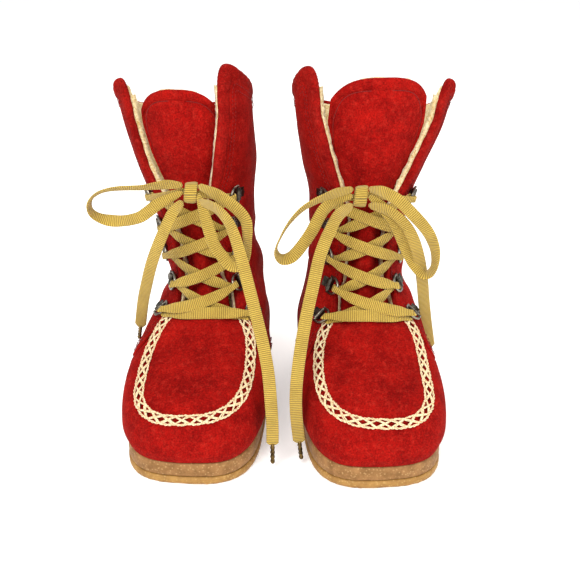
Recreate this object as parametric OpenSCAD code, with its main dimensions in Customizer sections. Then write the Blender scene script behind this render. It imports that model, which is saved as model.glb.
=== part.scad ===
// A pair of lace-up winter boots: suede uppers with a stitched moccasin toe, fleece linings,
// hinged D-rings, flat laces tied in bows, and crepe soles.
// Millimetres, +Z up, toes toward -Y. The origin is on the floor, midway between the boots.
// Every piece is described as the left boot's, with +X toward its outer side.

/* [Pair] */
// Distance from the middle of the pair to the centre line of each boot
boot_spread = 63.5; // [62:0.5:80]
// Angle by which each toe is turned outward
toe_out = 5; // [0:1:8]

// How far the left boot stands in front of the right one
stagger = 5; // [0:1:10]

/* [Sole] */
// Height of the sole under the toe
toe_stack = 17.5; // [16:0.5:22]
// Height of the sole under the heel
heel_stack = 31; // [27:0.5:34]
// Thickness of the bottom layer of crepe
outsole_h = 6; // [4:0.2:8]
// How far the bottom layer stands out past the upper's lower edge
sole_margin = 1; // [0.6:0.2:3]

/* [Upper] */
// Thickness of the suede
suede = 1.8; // [1.2:0.1:2]
// Thickness of the fleece lining
fleece = 4.2; // [2:0.2:4.4]
// Width of the gap at the seams between neighbouring pieces, as a part of one level
seam_gap = 0.06; // [0.04:0.01:0.12]

/* [Tongue] */
// How far the tongue lies inside the surface of the shaft
tongue_depth = 10.4; // [10:0.1:12]
// How far the middle of the tongue lies inside that surface, where it fills the gap of the laces
tongue_rise = 5; // [4:0.5:9]

/* [Rings] */
// Radius of the round end of a D-ring, to the middle of its wire
ring_r = 6.5; // [6:0.1:7]
// Length of the straight legs of a D-ring
ring_leg = 4; // [3:0.5:5]
// Radius of the ring's wire
wire_r = 1.1; // [0.9:0.05:1.2]
// Angle at which a ring rests above the suede
ring_tilt = 12; // [8:1:20]

/* [Laces] */
// Width of the flat lace
lace_w = 8.6; // [7:0.2:10]
// Thickness of the flat lace
lace_t = 1.4; // [1:0.1:1.8]
// Radius at which the lace turns round a ring's wire
turn_r = 3; // [2.8:0.1:3.2]

/* [Hidden] */
LEFT = 0;
RIGHT = 1;
LATERAL = 1;
MEDIAL = -1;
BOOTS = ["left", "right"];
SIDES = ["medial", "", "lateral"];
PIECES = ["outsole", "midsole", "insole_board", "footbed", "heel_counter", "vamp", "apron",
    "apron_stitching", "quarter_medial", "quarter_lateral", "back_strip", "fleece_lining",
    "collar_binding", "tongue", "tongue_lining", "ring_clips", "lacing", "bow_loops",
    "lace_ends", "aglets"];
RING_COUNT = 5;

// The ends of the sole's top face, and its slope
toe_y = -137;
heel_y = 136;
sole_rise = (heel_stack - toe_stack) / (heel_y - toe_y);
sole_pitch = atan(sole_rise);
function sole_z(y) = toe_stack + sole_rise * (y - toe_y);

// The upper is a stack of slanted egg-shaped levels, numbered from 0 at the sole to 12 at the rim.
// Each row holds the front's y and z, the back's y and z, the y of the widest place,
// the bluntness of the front and of the back, and how early the level rises to its back.
TOP = 12;
THROAT = 6.4;
level_rows = [
    [-133, sole_z(-133) + 0.3, 134, sole_z(134) + 0.3, -58, 3.1, 2.3, 1],
    [-137, 27, 137, 44, -60, 2.8, 2.2, 1],
    [-134, 43, 136, 60, -58, 2.5, 2.2, 1],
    [-119, 55, 132, 77, -54, 2.4, 2.1, 1],
    [-90, 68, 126, 93, -42, 2.2, 2.1, 1],
    [-61, 82, 118, 109, -22, 2.1, 2.1, 1],
    [-41, 98, 110, 124, 3, 2, 2.2, 1],
    [-29, 120, 103, 140, 24, 2, 2.2, 1],
    [-23, 146, 99, 158, 33, 2, 2.2, 0.95],
    [-21, 176, 97, 178, 37, 2, 2.2, 0.9],
    [-20, 210, 97, 197, 38, 2, 2.2, 0.8],
    [-19, 262, 100, 216, 38, 2, 2.2, 0.58],
    [-18, 336, 104, 237, 38, 2, 2.2, 0.42]
];
// Half width of each level, and how far its middle leans to the outer side, for each boot
half_widths = [[51.5, 56.5, 57, 54.5, 50, 46, 40, 37.5, 38, 41.5, 50, 59, 65],
    [51.5, 56.5, 57, 54.5, 50, 45, 38.5, 36.5, 38, 43, 49, 52.5, 55]];
leans = [[0, 0, 0, 0, 0, 1, 1, 0, 1, 3, 6, 10, 13],
    [0, 0, 0, 0, -1, -3, -4, -1, 4, 8, 12, 17, 22]];
// How much higher the rim stands at the inner side than at the outer side, and how far it is raised
rim_tilt = [14, 12];
rim_lift = [4, -4];

// How far the waist draws in on each side, and how far the toe leans to the inner side
waist_medial = 0.12;
waist_lateral = 0.06;
waist_y = 25;
waist_length = 38;
toe_lean = 1.5;

// Half of the gap between the two facings, by level
facing_medial = [[[6.5, 24], [7, 19], [8, 17], [9, 18], [10, 31], [11, 46], [12, 54]],
    [[6.5, 24], [7, 19], [8, 16], [9, 14], [10, 22], [11, 32], [12, 37]]];
facing_lateral = [[[6.5, 24], [7, 19], [8, 17], [9, 19], [10, 34], [11, 48], [12, 54]],
    [[6.5, 24], [7, 19], [8, 18], [9, 24], [10, 35], [11, 40], [12, 42]]];

// The side seam between vamp and quarter runs from the apron's seam down to the sole.
// Its foot is an angle, its head an angle and a level at head_share of the way along the apron's seam,
// and it bows backward by seam_bulge degrees in the middle.
BACK = 172;
seam_foot = 115;
seam_head = [51.5, 5.33];
head_share = 0.88;
seam_bulge = 13;
function side_spot(v) = [mix(seam_foot, seam_head[0], v) + seam_bulge * sin(180 * v), seam_head[1] * v];
side_seam = concat([[20, 6.05], [43.5, 5.88]], [for (v = [1 : -0.1 : 0]) side_spot(v)], [[180, 0]]);
// The apron's seam: angle and level by the share of the way from the toe to the apron's rear corner
apron_angle = [[0, 0], [0.15, 16], [0.3, 32], [0.45, 47], [0.6, 56], [0.75, 58], [0.9, 51], [1, 43]];
apron_level = [[0, 2.6], [0.15, 2.6], [0.3, 2.72], [0.45, 3.05],
    [0.6, 3.65], [0.75, 4.5], [0.9, 5.3], [1, 5.75]];
// How much higher the apron's seam runs on the inner side of the toe than on the outer side
apron_skew = 0.3;
// How much nearer to the middle of the toe the seam runs on the outer side
apron_narrow = 0.17;

// The rolled binding on the facings and the rim, as shares of a quarter's width and height
band_p = 0.075;
band_low_p = 0.03;
band_q = 0.05;
corner_p = 0.14;
corner_q = 0.1;

// Depths of the layers below the outer surface of the suede
counter_top = suede + 0.9;
counter_t = 1;
lining_top = counter_top + counter_t + 0.9;
lining_depth = lining_top + fleece;
tongue_t = 1.6;
tongue_fleece = 3;
layer_gap = 0.3;

// The lower end of the tongue, where it hinges, and its top
tongue_root = 5.87;
tongue_top_z = [280, 270];
tongue_shoulder = 22;
// How wide each tongue is next to its pattern
tongue_share = [1, 0.88];

// Each D-ring's distance from the middle and its level, from the lowest pair up
ring_spots = [[37, 5.55], [26, 6.75], [28, 7.65], [28, 8.5], [34, 9.35]];
barrel_r = 2.2;
bar_r = 1;
bore_r = 1.15;
barrel_l = 9.4;
plate_w = 8;
plate_l = 11;
plate_t = 0.8;
ring_h = 3.5;
plate_low = 0.9;
rivet_x = 6;

// The knot, and its place on each boot
knots = [[-7, -30, 194], [5, -33, 196]];
knot_size = [11, 9, 17];

// Routes of the free laces, measured from the knot in the pair's frame, with the lace's roll
LOOPS = [
    [
        [[-6, -2, 6, 0], [-19, -11, 6, 0], [-31, -19, 4, 0], [-44, -23, -2, 0], [-54, -25, -12, 0],
            [-61, -25, -24, 0], [-65, -23, -36, 0], [-61, -20, -44, 0], [-53, -18, -43, 0],
            [-45, -17, -34, 0], [-37, -15, -22, 0], [-29, -11, -8, 0], [-19, -5, -2, 0], [-6, -2, 1, 0]],
        [[6, -2, 6, 0], [15, -11, 7, 0], [26, -19, 3, 0], [38, -21, -8, 0], [50, -21, -22, 0],
            [57, -17, -39, 0], [57, -13, -55, 0], [51, -10, -61, 0], [43, -8, -53, 0],
            [35, -8, -38, 0], [26, -10, -18, 0], [16, -8, -6, 0], [6, -2, 1, 0]]
    ],
    [
        [[-6, -2, 6, 0], [-18, -9, 9, 0], [-35, -17, 9, 0], [-51, -19, 9, 0], [-66, -15, 5, 0],
            [-76, -9, -4, 0], [-77, -3, -15, 0], [-69, -1, -21, 0], [-55, -3, -22, 0],
            [-39, -5, -18, 0], [-25, -4, -8, 0], [-6, -2, 1, 0]],
        [[6, -2, 6, 0], [20, -11, 2, 0], [34, -19, -5, 0], [43, -23, -15, 0], [44, -25, -28, 0],
            [44, -25, -41, 0], [40, -23, -51, 0], [31, -21, -52, 0], [24, -19, -45, 0],
            [18, -17, -36, 0], [13, -13, -21, 0], [6, -2, 0, 0]]
    ]
];
TAILS = [
    [
        [[-6, -4, -6, 0], [-17, -17, -9, 0], [-25, -27, -20, 0], [-32, -37, -35, 0], [-37, -47, -54, 0],
            [-42, -57, -74, 0], [-46, -65, -95, 0], [-49, -72, -117, 0], [-50, -75, -137, 0],
            [-49, -75, -155, 0], [-47, -73, -174, 0]],
        [[6, -4, -6, 0], [20, -14, -7, 0], [32, -17, -16, 0], [41, -15, -32, 0], [49, -5, -59, 0],
            [55, 9, -91, 0], [61, 23, -120, 0], [67, 35, -147, 0]]
    ],
    [
        [[-6, -4, -6, 0], [-13, -14, -12, 0], [-21, -18, -28, 0], [-30, -15, -50, 0], [-37, -7, -73, 0],
            [-43, 5, -95, 0], [-49, 20, -124, 0]],
        [[6, -4, -6, 0], [20, -20, -6, 0], [31, -30, -15, 0], [38, -38, -32, 0], [44, -46, -53, 0],
            [50, -56, -74, 0], [56, -65, -97, 0], [60, -72, -118, 0], [62, -77, -141, 0],
            [63, -80, -159, 0], [63, -81, -175, 0]]
    ]
];
// The lace is gathered narrow where it comes out of the knot
gather_w = 4;
gather_l = 14;
aglet_l = 17;
aglet_r = 1.7;

suede_red = "firebrick";
lace_gold = "goldenrod";
fleece_cream = "wheat";
crepe_tan = "burlywood";
brass = "darkgoldenrod";

// ---- Small helpers ----

function unit(v) = v / norm(v);
function clamp(x, low, high) = min(max(x, low), high);
function mix(a, b, s) = a + (b - a) * s;
function bell(x) = exp(-x * x);

// The smooth curve through four neighbouring values
function smooth(p0, p1, p2, p3, f) =
    0.5 * (2 * p1 + (p2 - p0) * f + (2 * p0 - 5 * p1 + 4 * p2 - p3) * f * f
        + (3 * p1 - p0 - 3 * p2 + p3) * f * f * f);
function along(list, t) =
    let(n = len(list), i = clamp(floor(t), 0, n - 2))
    smooth(list[max(i - 1, 0)], list[i], list[i + 1], list[min(i + 2, n - 1)], t - i);

// ---- The surface of the upper: a is the angle round the boot from the toe, t is the level ----

function level_point(v, w, a) =
    let(front = cos(a) > 0,
        power = 2 / (front ? v[5] : v[6]),
        reach = pow(abs(cos(a)), power),
        y = v[4] + (front ? v[0] - v[4] : v[2] - v[4]) * reach,
        share = clamp((y - v[0]) / (v[2] - v[0]), 0, 1))
    [w * sign(sin(a)) * pow(abs(sin(a)), power), y, v[1] + (v[3] - v[1]) * pow(share, v[7])];

function skin(boot, a, t) =
    let(w = along(half_widths[boot], t),
        p = level_point(along(level_rows, t), w, a),
        low = clamp(1 - t / 5, 0, 1),
        waist = low * (p[0] < 0 ? waist_medial : waist_lateral) * bell((p[1] - waist_y) / waist_length),
        toe = toe_lean * pow(clamp((-40 - p[1]) / 97, 0, 1), 2),
        rim = pow(clamp((t - 9) / 3, 0, 1), 2),
        lift = rim_lift[boot] * clamp((45 - p[1]) / 60, 0, 1) - rim_tilt[boot] * p[0] / w / 2)
    [p[0] * (1 - waist) - toe + along(leans[boot], t), p[1], p[2] + rim * lift];

function skin_across(boot, a, t) = unit(skin(boot, a + 1, t) - skin(boot, a - 1, t));
function skin_up(boot, a, t) = unit(skin(boot, a, t + 0.04) - skin(boot, a, t - 0.04));
function skin_out(boot, a, t) = unit(cross(skin_across(boot, a, t), skin_up(boot, a, t)));

// A point at a depth below the outer surface
function layer(boot, a, t, depth) = skin(boot, a, t) - skin_out(boot, a, t) * depth;

// The angle at which a level has a given half width x
function angle_of(boot, x, t) =
    asin(pow(clamp(x / along(half_widths[boot], t), 0, 0.98), along(level_rows, t)[5] / 2));

function facing_angle(boot, side, t) =
    angle_of(boot, lookup(t, side == MEDIAL ? facing_medial[boot] : facing_lateral[boot]), max(t, THROAT));

// ---- A curved plate between two grids of points, (nu + 1) by (nv + 1) each ----

function sheet_faces(nu, nv) =
    let(m = (nu + 1) * (nv + 1), w = nv + 1)
    concat(
        [for (i = [0 : nu - 1], j = [0 : nv - 1]) let(k = i * w + j)
            each [[k, k + 1, k + w + 1], [k, k + w + 1, k + w],
                [m + k, m + k + w + 1, m + k + 1], [m + k, m + k + w, m + k + w + 1]]],
        [for (i = [0 : nu - 1]) let(k = i * w, e = k + nv)
            each [[k, k + w, m + k + w], [k, m + k + w, m + k],
                [e, m + e, m + e + w], [e, m + e + w, e + w]]],
        [for (j = [0 : nv - 1]) let(k = nu * w + j)
            each [[j, m + j, m + j + 1], [j, m + j + 1, j + 1],
                [k, k + 1, m + k + 1], [k, m + k + 1, m + k]]]
    );

module plate(outer, inner, nu, nv) {
    polyhedron(concat(outer, inner), sheet_faces(nu, nv), convexity = 8);
}

// A plate laid on the upper: spots is a grid of [angle, level]
module layer_plate(boot, spots, nu, nv, depth, thickness) {
    plate([for (s = spots) layer(boot, s[0], s[1], depth)],
        [for (s = spots) layer(boot, s[0], s[1], depth + thickness)], nu, nv);
}

// ---- A ribbon swept through stops of [place, width direction, width] ----

function stop_way(stops, i) = unit(stops[min(i + 1, len(stops) - 1)][0] - stops[max(i - 1, 0)][0]);
function stop_corners(stops, i, thickness) =
    let(way = stop_way(stops, i),
        wide = unit(stops[i][1] - way * (stops[i][1] * way)),
        thick = cross(wide, way),
        w = stops[i][2] / 2,
        h = thickness / 2)
    [for (c = [[1, 0.4], [0.8, 1], [-0.8, 1], [-1, 0.4], [-1, -0.4], [-0.8, -1], [0.8, -1], [1, -0.4]])
        stops[i][0] + wide * c[0] * w + thick * c[1] * h];

module ribbon(stops, thickness) {
    n = len(stops);
    corners = 8;
    points = [for (i = [0 : n - 1]) each stop_corners(stops, i, thickness)];
    sides = [for (i = [0 : n - 2], j = [0 : corners - 1])
        let(a = i * corners + j, b = i * corners + (j + 1) % corners)
        each [[a, b + corners, a + corners], [a, b, b + corners]]];
    ends = [[for (j = [corners - 1 : -1 : 0]) j], [for (j = [0 : corners - 1]) (n - 1) * corners + j]];
    polyhedron(points, concat(sides, ends), convexity = 10);
}

// ---- Places of the two boots ----

module place(boot) {
    if (boot == LEFT)
        translate([boot_spread, -stagger / 2, 0]) rotate(toe_out) children();
    else
        mirror([1, 0, 0]) translate([boot_spread, stagger / 2, 0]) rotate(toe_out) children();
}

function knot_place(boot) =
    let(k = knots[boot],
        x = boot_spread + k[0] * cos(toe_out) - k[1] * sin(toe_out),
        y = k[0] * sin(toe_out) + k[1] * cos(toe_out))
    boot == LEFT ? [x, y - stagger / 2, k[2]] : [-x, y + stagger / 2, k[2]];

// ---- Sole ----

outline_count = 48;
function outline_point(a) = let(p = skin(LEFT, a, 0)) [p[0], p[1]];
function outline_out(a) =
    let(d = unit(outline_point(a + 1) - outline_point(a - 1)))
    [d[1], -d[0]];
function outline(margin) =
    [for (i = [0 : outline_count - 1]) let(a = 360 * (i + 0.5) / outline_count)
        outline_point(a) + outline_out(a) * margin];

module on_slope(height) {
    translate([0, 0, sole_z(0) + height]) rotate([sole_pitch, 0, 0]) children();
}

module outsole() {
    color(crepe_tan) linear_extrude(outsole_h) polygon(outline(sole_margin));
}

module midsole() {
    color("tan") difference() {
        translate([0, 0, outsole_h]) linear_extrude(heel_stack) polygon(outline(sole_margin - 1));
        on_slope(0) translate([-100, -200, 0]) cube([200, 400, 60]);
    }
}

module insole_board() {
    color("peru") on_slope(0.2) linear_extrude(2) polygon(outline(-2.8));
}

module footbed() {
    color(fleece_cream) on_slope(2.4) linear_extrude(5) polygon(outline(-9));
}

// ---- Suede pieces ----

// The apron's seam: c runs from -1 at the inner rear corner round the toe to 1 at the outer one
function apron_seam(c) =
    let(in = c > 0 ? 1 - apron_narrow * clamp((0.9 - c) / 0.3, 0, 1) : 1,
        a = sign(c) * in * lookup(abs(c), apron_angle))
    [a, lookup(abs(c), apron_level) - apron_skew * sin(a) * (1 - abs(c))];

// Position in the vamp: v runs from the sole to the apron
vamp_nu = 28;
vamp_nv = 7;
function seam_spot(c, v) =
    let(top = apron_seam(c * head_share), out = seam_foot * max(abs(c) - seam_gap / 3, 0))
    [mix(sign(c) * out, top[0], v) + sign(c) * pow(c, 6) * seam_bulge * sin(180 * v),
        mix(0, top[1] - seam_gap / 2, v)];

module vamp(boot) {
    spots = [for (i = [0 : vamp_nu], j = [0 : vamp_nv]) seam_spot(2 * i / vamp_nu - 1, j / vamp_nv)];
    color(suede_red) layer_plate(boot, spots, vamp_nu, vamp_nv, 0, suede);
}

// The apron fills the inside of its seam: c runs across it, and v from the toe back
apron_nu = 14;
apron_nv = 10;
function apron_spot(c, v) =
    let(s = mix(0.04, 1, v), inner = apron_seam(-s), outer = apron_seam(s))
    [mix(inner[0], outer[0], (c + 1) / 2), mix(inner[1], outer[1], (c + 1) / 2) + seam_gap / 2];

module apron(boot) {
    spots = [for (i = [0 : apron_nu], j = [0 : apron_nv])
        apron_spot(2 * i / apron_nu - 1, j / apron_nv)];
    color(suede_red) layer_plate(boot, spots, apron_nu, apron_nv, 0, suede);
}

// The cream thread laid over the apron's seam
stitch_count = 40;
module apron_stitching(boot) {
    stops = [for (i = [0 : stitch_count]) let(seam = apron_seam(2 * i / stitch_count - 1))
        [layer(boot, seam[0], seam[1], -1.2), skin_up(boot, seam[0], seam[1]), 7]];
    color("cornsilk") ribbon(stops, 1);
}

// Position in a quarter: p runs from the facing to the back, q from the lower edge to the rim
function quarter_angle(boot, side, p, t) = mix(facing_angle(boot, side, t), BACK, p);
function quarter_level(boot, side, p, q) =
    mix(lookup(quarter_angle(boot, side, p, 0), side_seam) + seam_gap * clamp(7 - 10 * p, 0, 1), TOP, q);

// The binding's width on the facing at a level, and on the rim
function facing_band(t) =
    let(s = clamp((t - 9) / 1.5, 0, 1))
    mix(band_low_p, band_p, s * s * (3 - 2 * s));
function band_height(p) = band_q * (1 - 0.65 * p);
function quarter_top(p) =
    let(s = clamp((corner_p - p) / (corner_p - band_p), 0, 1))
    p < corner_p ? 1 - corner_q + (corner_q - band_height(p)) * sqrt(1 - s * s)
        : 1 - band_height(min(p, 1));

// A spot inside the binding, u of the way to the back and v of the way up, with its lowest level
band_gap = 0.014;
function inside_spot(boot, side, u, v, last, low, start) =
    let(p = mix(band_p + band_gap, last, u),
        foot = mix(facing_band(0) + band_gap, 1, u),
        t = mix(low < 0 ? quarter_level(boot, side, foot, 0) : low,
            quarter_level(boot, side, min(p, 1), quarter_top(p) - band_gap), v),
        closed = start * (1 - clamp((t - 4.4) / 0.6, 0, 1)),
        first = quarter_angle(boot, side, facing_band(t) + band_gap, t))
    [mix(mix(first, 1, closed), mix(BACK, 180, (last - 1) / (LINING_LAST - 1)), u), t];

LINING_LAST = 1.06;
quarter_nu = 18;
quarter_nv = 14;
module quarter(boot, side) {
    spots = [for (i = [0 : quarter_nu], j = [0 : quarter_nv])
        let(s = inside_spot(boot, side, i / quarter_nu, j / quarter_nv, 1, -1, 0)) [side * s[0], s[1]]];
    color(suede_red) layer_plate(boot, side == LATERAL ? spots : mirror_grid(spots, quarter_nu, quarter_nv),
        quarter_nu, quarter_nv, 0, suede);
}

// The columns of a grid in the opposite order, for a piece on the other side
function mirror_grid(spots, nu, nv) = [for (i = [0 : nu], j = [0 : nv]) spots[(nu - i) * (nv + 1) + j]];

strip_nv = 16;
module back_strip(boot) {
    top = mix(0, TOP, 1 - band_height(1) - 0.004);
    spots = [for (i = [0 : 2], j = [0 : strip_nv])
        [mix(BACK + 0.8, 360 - BACK - 0.8, i / 2), mix(0, top, j / strip_nv)]];
    color("brown") layer_plate(boot, spots, 2, strip_nv, 0, suede);
}

module heel_counter(boot) {
    nu = 14;
    nv = 5;
    spots = [for (i = [0 : nu], j = [0 : nv]) [mix(124, 236, i / nu), mix(0.35, 4.4, j / nv)]];
    color("linen") layer_plate(boot, spots, nu, nv, counter_top, counter_t);
}

// ---- Lining ----

// The lining closes at the front below the throat and opens with the facings above it
lining_nu = 28;
lining_nv = 14;
lining_foot = 0.35;
function lining_spot(boot, side, u, v) =
    inside_spot(boot, side, u, v, LINING_LAST, lining_foot, 1);

module fleece_lining(boot) {
    half = lining_nu / 2;
    spots = [for (i = [0 : lining_nu], j = [0 : lining_nv]) let(v = j / lining_nv)
        i <= half ? lining_spot(boot, LATERAL, i / half, v)
            : let(s = lining_spot(boot, MEDIAL, (lining_nu - i) / half, v)) [360 - s[0], s[1]]];
    color(fleece_cream) layer_plate(boot, spots, lining_nu, lining_nv, lining_top, fleece);
}

// ---- Collar binding ----

// A spot in the band: s runs 0 to 1 up the facing, to 2 round the corner, and to 3 at the back
function band_spot(boot, side, s, d) =
    let(f = 90 * clamp(s - 1, 0, 1),
        facing_t = quarter_level(boot, side, 0, (1 - corner_q) * s),
        p = s < 1 ? d * facing_band(facing_t) : s < 2 ? corner_p - (corner_p - d * band_p) * cos(f)
            : mix(corner_p, 1.07, s - 2),
        h = d * band_height(p),
        q = s < 1 ? (1 - corner_q) * s : s < 2 ? 1 - corner_q + (corner_q - h) * sin(f) : 1 - h,
        t = quarter_level(boot, side, p, q))
    [side * quarter_angle(boot, side, p, t), t];

band_steps = 28;
// The roll's cross section: the share of its width, and of its depth
band_profile = [[0.12, 0], [0.55, -0.12], [0.93, 0], [1, 0.3], [1, 0.7], [0.93, 1], [0.12, 1], [0, 0.55]];
function band_ring(boot, side, s) =
    let(deep = lining_depth + 0.3 - 4 * clamp(s - 2, 0, 1))
    [for (c = band_profile) let(spot = band_spot(boot, side, s, c[0]))
        layer(boot, spot[0], spot[1], mix(-0.5, deep, c[1]))];

module collar_binding(boot) {
    rings = [for (i = [-band_steps : band_steps])
        let(s = 3 * (1 - abs(i) / band_steps))
        band_ring(boot, i < 0 ? LATERAL : MEDIAL, s)];
    n = len(rings);
    m = len(band_profile);
    sides = [for (i = [0 : n - 2], j = [0 : m - 1])
        let(a = i * m + j, b = i * m + (j + 1) % m)
        each [[a, b + m, b], [a, a + m, b + m]]];
    ends = [[for (j = [0 : m - 1]) j], [for (j = [m - 1 : -1 : 0]) (n - 1) * m + j]];
    color("maroon") polyhedron([for (r = rings) each r], concat(sides, ends), convexity = 8);
}

// ---- Tongue ----

tongue_nu = 10;
tongue_nv = 14;
tongue_half = [[5.8, 26], [7, 27], [8, 28], [9, 28], [9.5, 30], [10.3, 43], [10.9, 49], [12, 50]];
function tongue_spot(boot, c, v) =
    let(a = angle_of(boot, abs(c) * 49 * tongue_share[boot], 11) * sign(c),
        heights = [for (t = [9 : 0.25 : TOP]) [layer(boot, a, t, tongue_depth)[2], t]],
        end = lookup(tongue_top_z[boot] - tongue_shoulder * mix(c * c, pow(abs(c), 5), 0.45), heights),
        t = mix(tongue_root, end, v),
        half = lookup(t, tongue_half) * tongue_share[boot] * (1 - 0.1 * pow(v, 8)))
    [sign(c) * angle_of(boot, abs(c) * half, t), t];

// The tongue's middle stands forward of its edges between the facings
function tongue_dip(t, c) =
    let(s = clamp(abs(c) * 2 - 0.3, 0, 1))
    (tongue_depth - tongue_rise) * (1 - s * s * (3 - 2 * s)) * clamp((10.5 - t) / 2, 0, 1)
        * clamp((t - tongue_root) / 0.5, 0, 1);

module tongue_layer(boot, depth, thickness, share) {
    cells = [for (i = [0 : tongue_nu], j = [0 : tongue_nv])
        let(c = share * (2 * i / tongue_nu - 1), s = tongue_spot(boot, c, share * j / tongue_nv))
        [s[0], s[1], depth - tongue_dip(s[1], c)]];
    plate([for (s = cells) layer(boot, s[0], s[1], s[2])],
        [for (s = cells) layer(boot, s[0], s[1], s[2] + thickness)], tongue_nu, tongue_nv);
}

module tongue(boot) {
    color(suede_red) tongue_layer(boot, tongue_depth, tongue_t, 1);
}

module tongue_lining(boot) {
    color(fleece_cream) tongue_layer(boot, tongue_depth + tongue_t + layer_gap, tongue_fleece, 0.98);
}

// ---- D-rings and their clips ----

// The frame of a ring's bar: place, direction toward the facing, along the bar, and outward
function ring_frame(boot, side, k) =
    let(spot = ring_spots[k - 1],
        a = side * angle_of(boot, spot[0], spot[1]),
        out = skin_out(boot, a, spot[1]),
        toward = -side * skin_across(boot, a, spot[1]))
    [skin(boot, a, spot[1]) + out * ring_h, toward, cross(out, toward), out];

module at_frame(f) {
    multmatrix([for (r = [0 : 2]) [f[1][r], f[2][r], f[3][r], f[0][r]]]) children();
}

module ring_clip() {
    round_n = 32;
    difference() {
        union() {
            rotate([90, 0, 0]) cylinder(h = barrel_l, r = barrel_r, center = true, $fn = round_n);
            translate([-plate_l + 2, -plate_w / 2, -ring_h + plate_low]) cube([plate_l, plate_w, plate_t]);
            translate([-rivet_x, 0, -ring_h + plate_low]) cylinder(h = 1.9, r = 2.4, $fn = round_n);
        }
        rotate([90, 0, 0]) cylinder(h = barrel_l + 1, r = bore_r, center = true, $fn = round_n);
    }
}

module ring_clips(boot) {
    color("dimgray") for (side = [MEDIAL, LATERAL], k = [1 : RING_COUNT])
        at_frame(ring_frame(boot, side, k)) ring_clip();
}

module d_ring(boot, side, k) {
    round_n = 24;
    color("slategray") at_frame(ring_frame(boot, side, k)) rotate([0, -ring_tilt, 0]) {
        rotate([90, 0, 0]) cylinder(h = 2 * ring_r, r = bar_r, center = true, $fn = round_n);
        translate([ring_leg, 0, 0]) rotate(-90)
            rotate_extrude(angle = 180, $fn = 48) translate([ring_r, 0]) circle(wire_r, $fn = round_n);
        for (e = [-1, 1]) translate([0, e * ring_r, 0]) {
            sphere(wire_r, $fn = round_n);
            rotate([0, 90, 0]) cylinder(h = ring_leg, r = wire_r, $fn = round_n);
        }
    }
}

// ---- Lacing ----

// The lace visits the rings in this order: side, ring, and 1 where it comes over the wire
lace_visits = [[1, 5, 1], [-1, 4, -1], [1, 3, 1], [-1, 2, -1], [1, 1, 1],
    [-1, 1, 1], [1, 2, -1], [-1, 3, 1], [1, 4, -1], [-1, 5, 1]];
// How far the middle of each crossing stands out from the surface of the shaft
lace_heights = [0.9, 3.2, 1.1, 5.2, 3.2, 2.6, 3.6, 0.9, 3.2];
apex_reach = 8.5;
narrow_w = 6.2;

function wire_frame(boot, side, k) =
    let(f = ring_frame(boot, side, k),
        toward = f[1] * cos(ring_tilt) + f[3] * sin(ring_tilt),
        out = f[3] * cos(ring_tilt) - f[1] * sin(ring_tilt))
    [f[0] + toward * (ring_leg + ring_r), toward, f[2], out];

function turn_stop(f, angle) = [f[0] + (f[1] * cos(angle) + f[3] * sin(angle)) * turn_r, f[2], narrow_w];
function turn_stops(boot, visit) =
    let(f = wire_frame(boot, visit[0], visit[1]),
        up = f[2][2] > 0 ? 1 : -1,
        g = [f[0], f[1], f[2] * up, f[3]],
        angles = [90, 125, 160, 200, 235, 270])
    [for (i = [0 : len(angles) - 1]) turn_stop(g, angles[visit[2] > 0 ? i : len(angles) - 1 - i])];

// The angle and level at which a ring's wire lies
function apex_spot(boot, visit) =
    let(spot = ring_spots[visit[1] - 1])
    [visit[0] * angle_of(boot, spot[0] - apex_reach, spot[1]), spot[1]];

// A strand follows the shaft from one ring to the next and runs smoothly into both turns
function strand_stops(boot, from, to, a, b, height) =
    let(start = from[0] - layer(boot, a[0], a[1], -height),
        end = to[0] - layer(boot, b[0], b[1], -height))
    [for (s = [0.08, 0.2, 0.35, 0.5, 0.65, 0.8, 0.92])
        [layer(boot, mix(a[0], b[0], s), mix(a[1], b[1], s), -height)
            + start * pow(1 - s, 2) + end * s * s,
            mix(from[1], to[1], s), mix(narrow_w, lace_w, clamp(3 * sin(180 * s) - 1, 0, 1))]];

// The two strands between the knot and the top rings
function knot_stops(from, to) =
    [for (s = [0.2, 0.4, 0.6, 0.8])
        [mix(from[0], to[0], s) - [0, 2 * sin(180 * s), 0], mix(from[1], to[1], s), narrow_w]];

function lace_run(boot) =
    let(turns = [for (v = lace_visits) turn_stops(boot, v)],
        spots = [for (v = lace_visits) apex_spot(boot, v)],
        last = len(turns) - 1,
        knot = knots[boot],
        start = [knot + [6, 3, 2], turns[0][0][1], narrow_w],
        end = [knot + [-6, 3, -2], turns[last][5][1], narrow_w])
    concat(
        [start],
        knot_stops(start, turns[0][0]),
        [for (i = [0 : last]) each concat(turns[i], i < last
            ? strand_stops(boot, turns[i][5], turns[i + 1][0], spots[i], spots[i + 1], lace_heights[i])
            : [])],
        knot_stops(turns[last][5], end),
        [end]
    );

module lacing(boot) {
    color(lace_gold) {
        ribbon(lace_run(boot), lace_t);
        translate(knots[boot]) hull() for (z = [-1, 1])
            translate([0, 0, z * (knot_size[2] - knot_size[1]) / 2])
                scale([knot_size[0] / knot_size[1], 1, 1]) sphere(d = knot_size[1], $fn = 16);
    }
}

// ---- Free laces ----

// The ribbon's stops along a route of [x, y, z, roll] measured from the knot
function free_stops(boot, route) =
    let(n = len(route),
        count = 2 * (n - 1),
        points = [for (i = [0 : count]) along(route, (n - 1) * i / count)])
    [for (i = [0 : count])
        let(p = points[i],
            q = points[min(i + 1, count)] - points[max(i - 1, 0)],
            way = unit([q[0], q[1], q[2]]),
            flat = unit(cross(way, [0, -1, 0])),
            wide = flat * cos(p[3]) + cross(way, flat) * sin(p[3]))
        [knot_place(boot) + [p[0], p[1], p[2]], wide,
            mix(gather_w, lace_w, clamp((norm([p[0], p[1], p[2]]) - 7) / gather_l, 0, 1))]];

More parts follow.
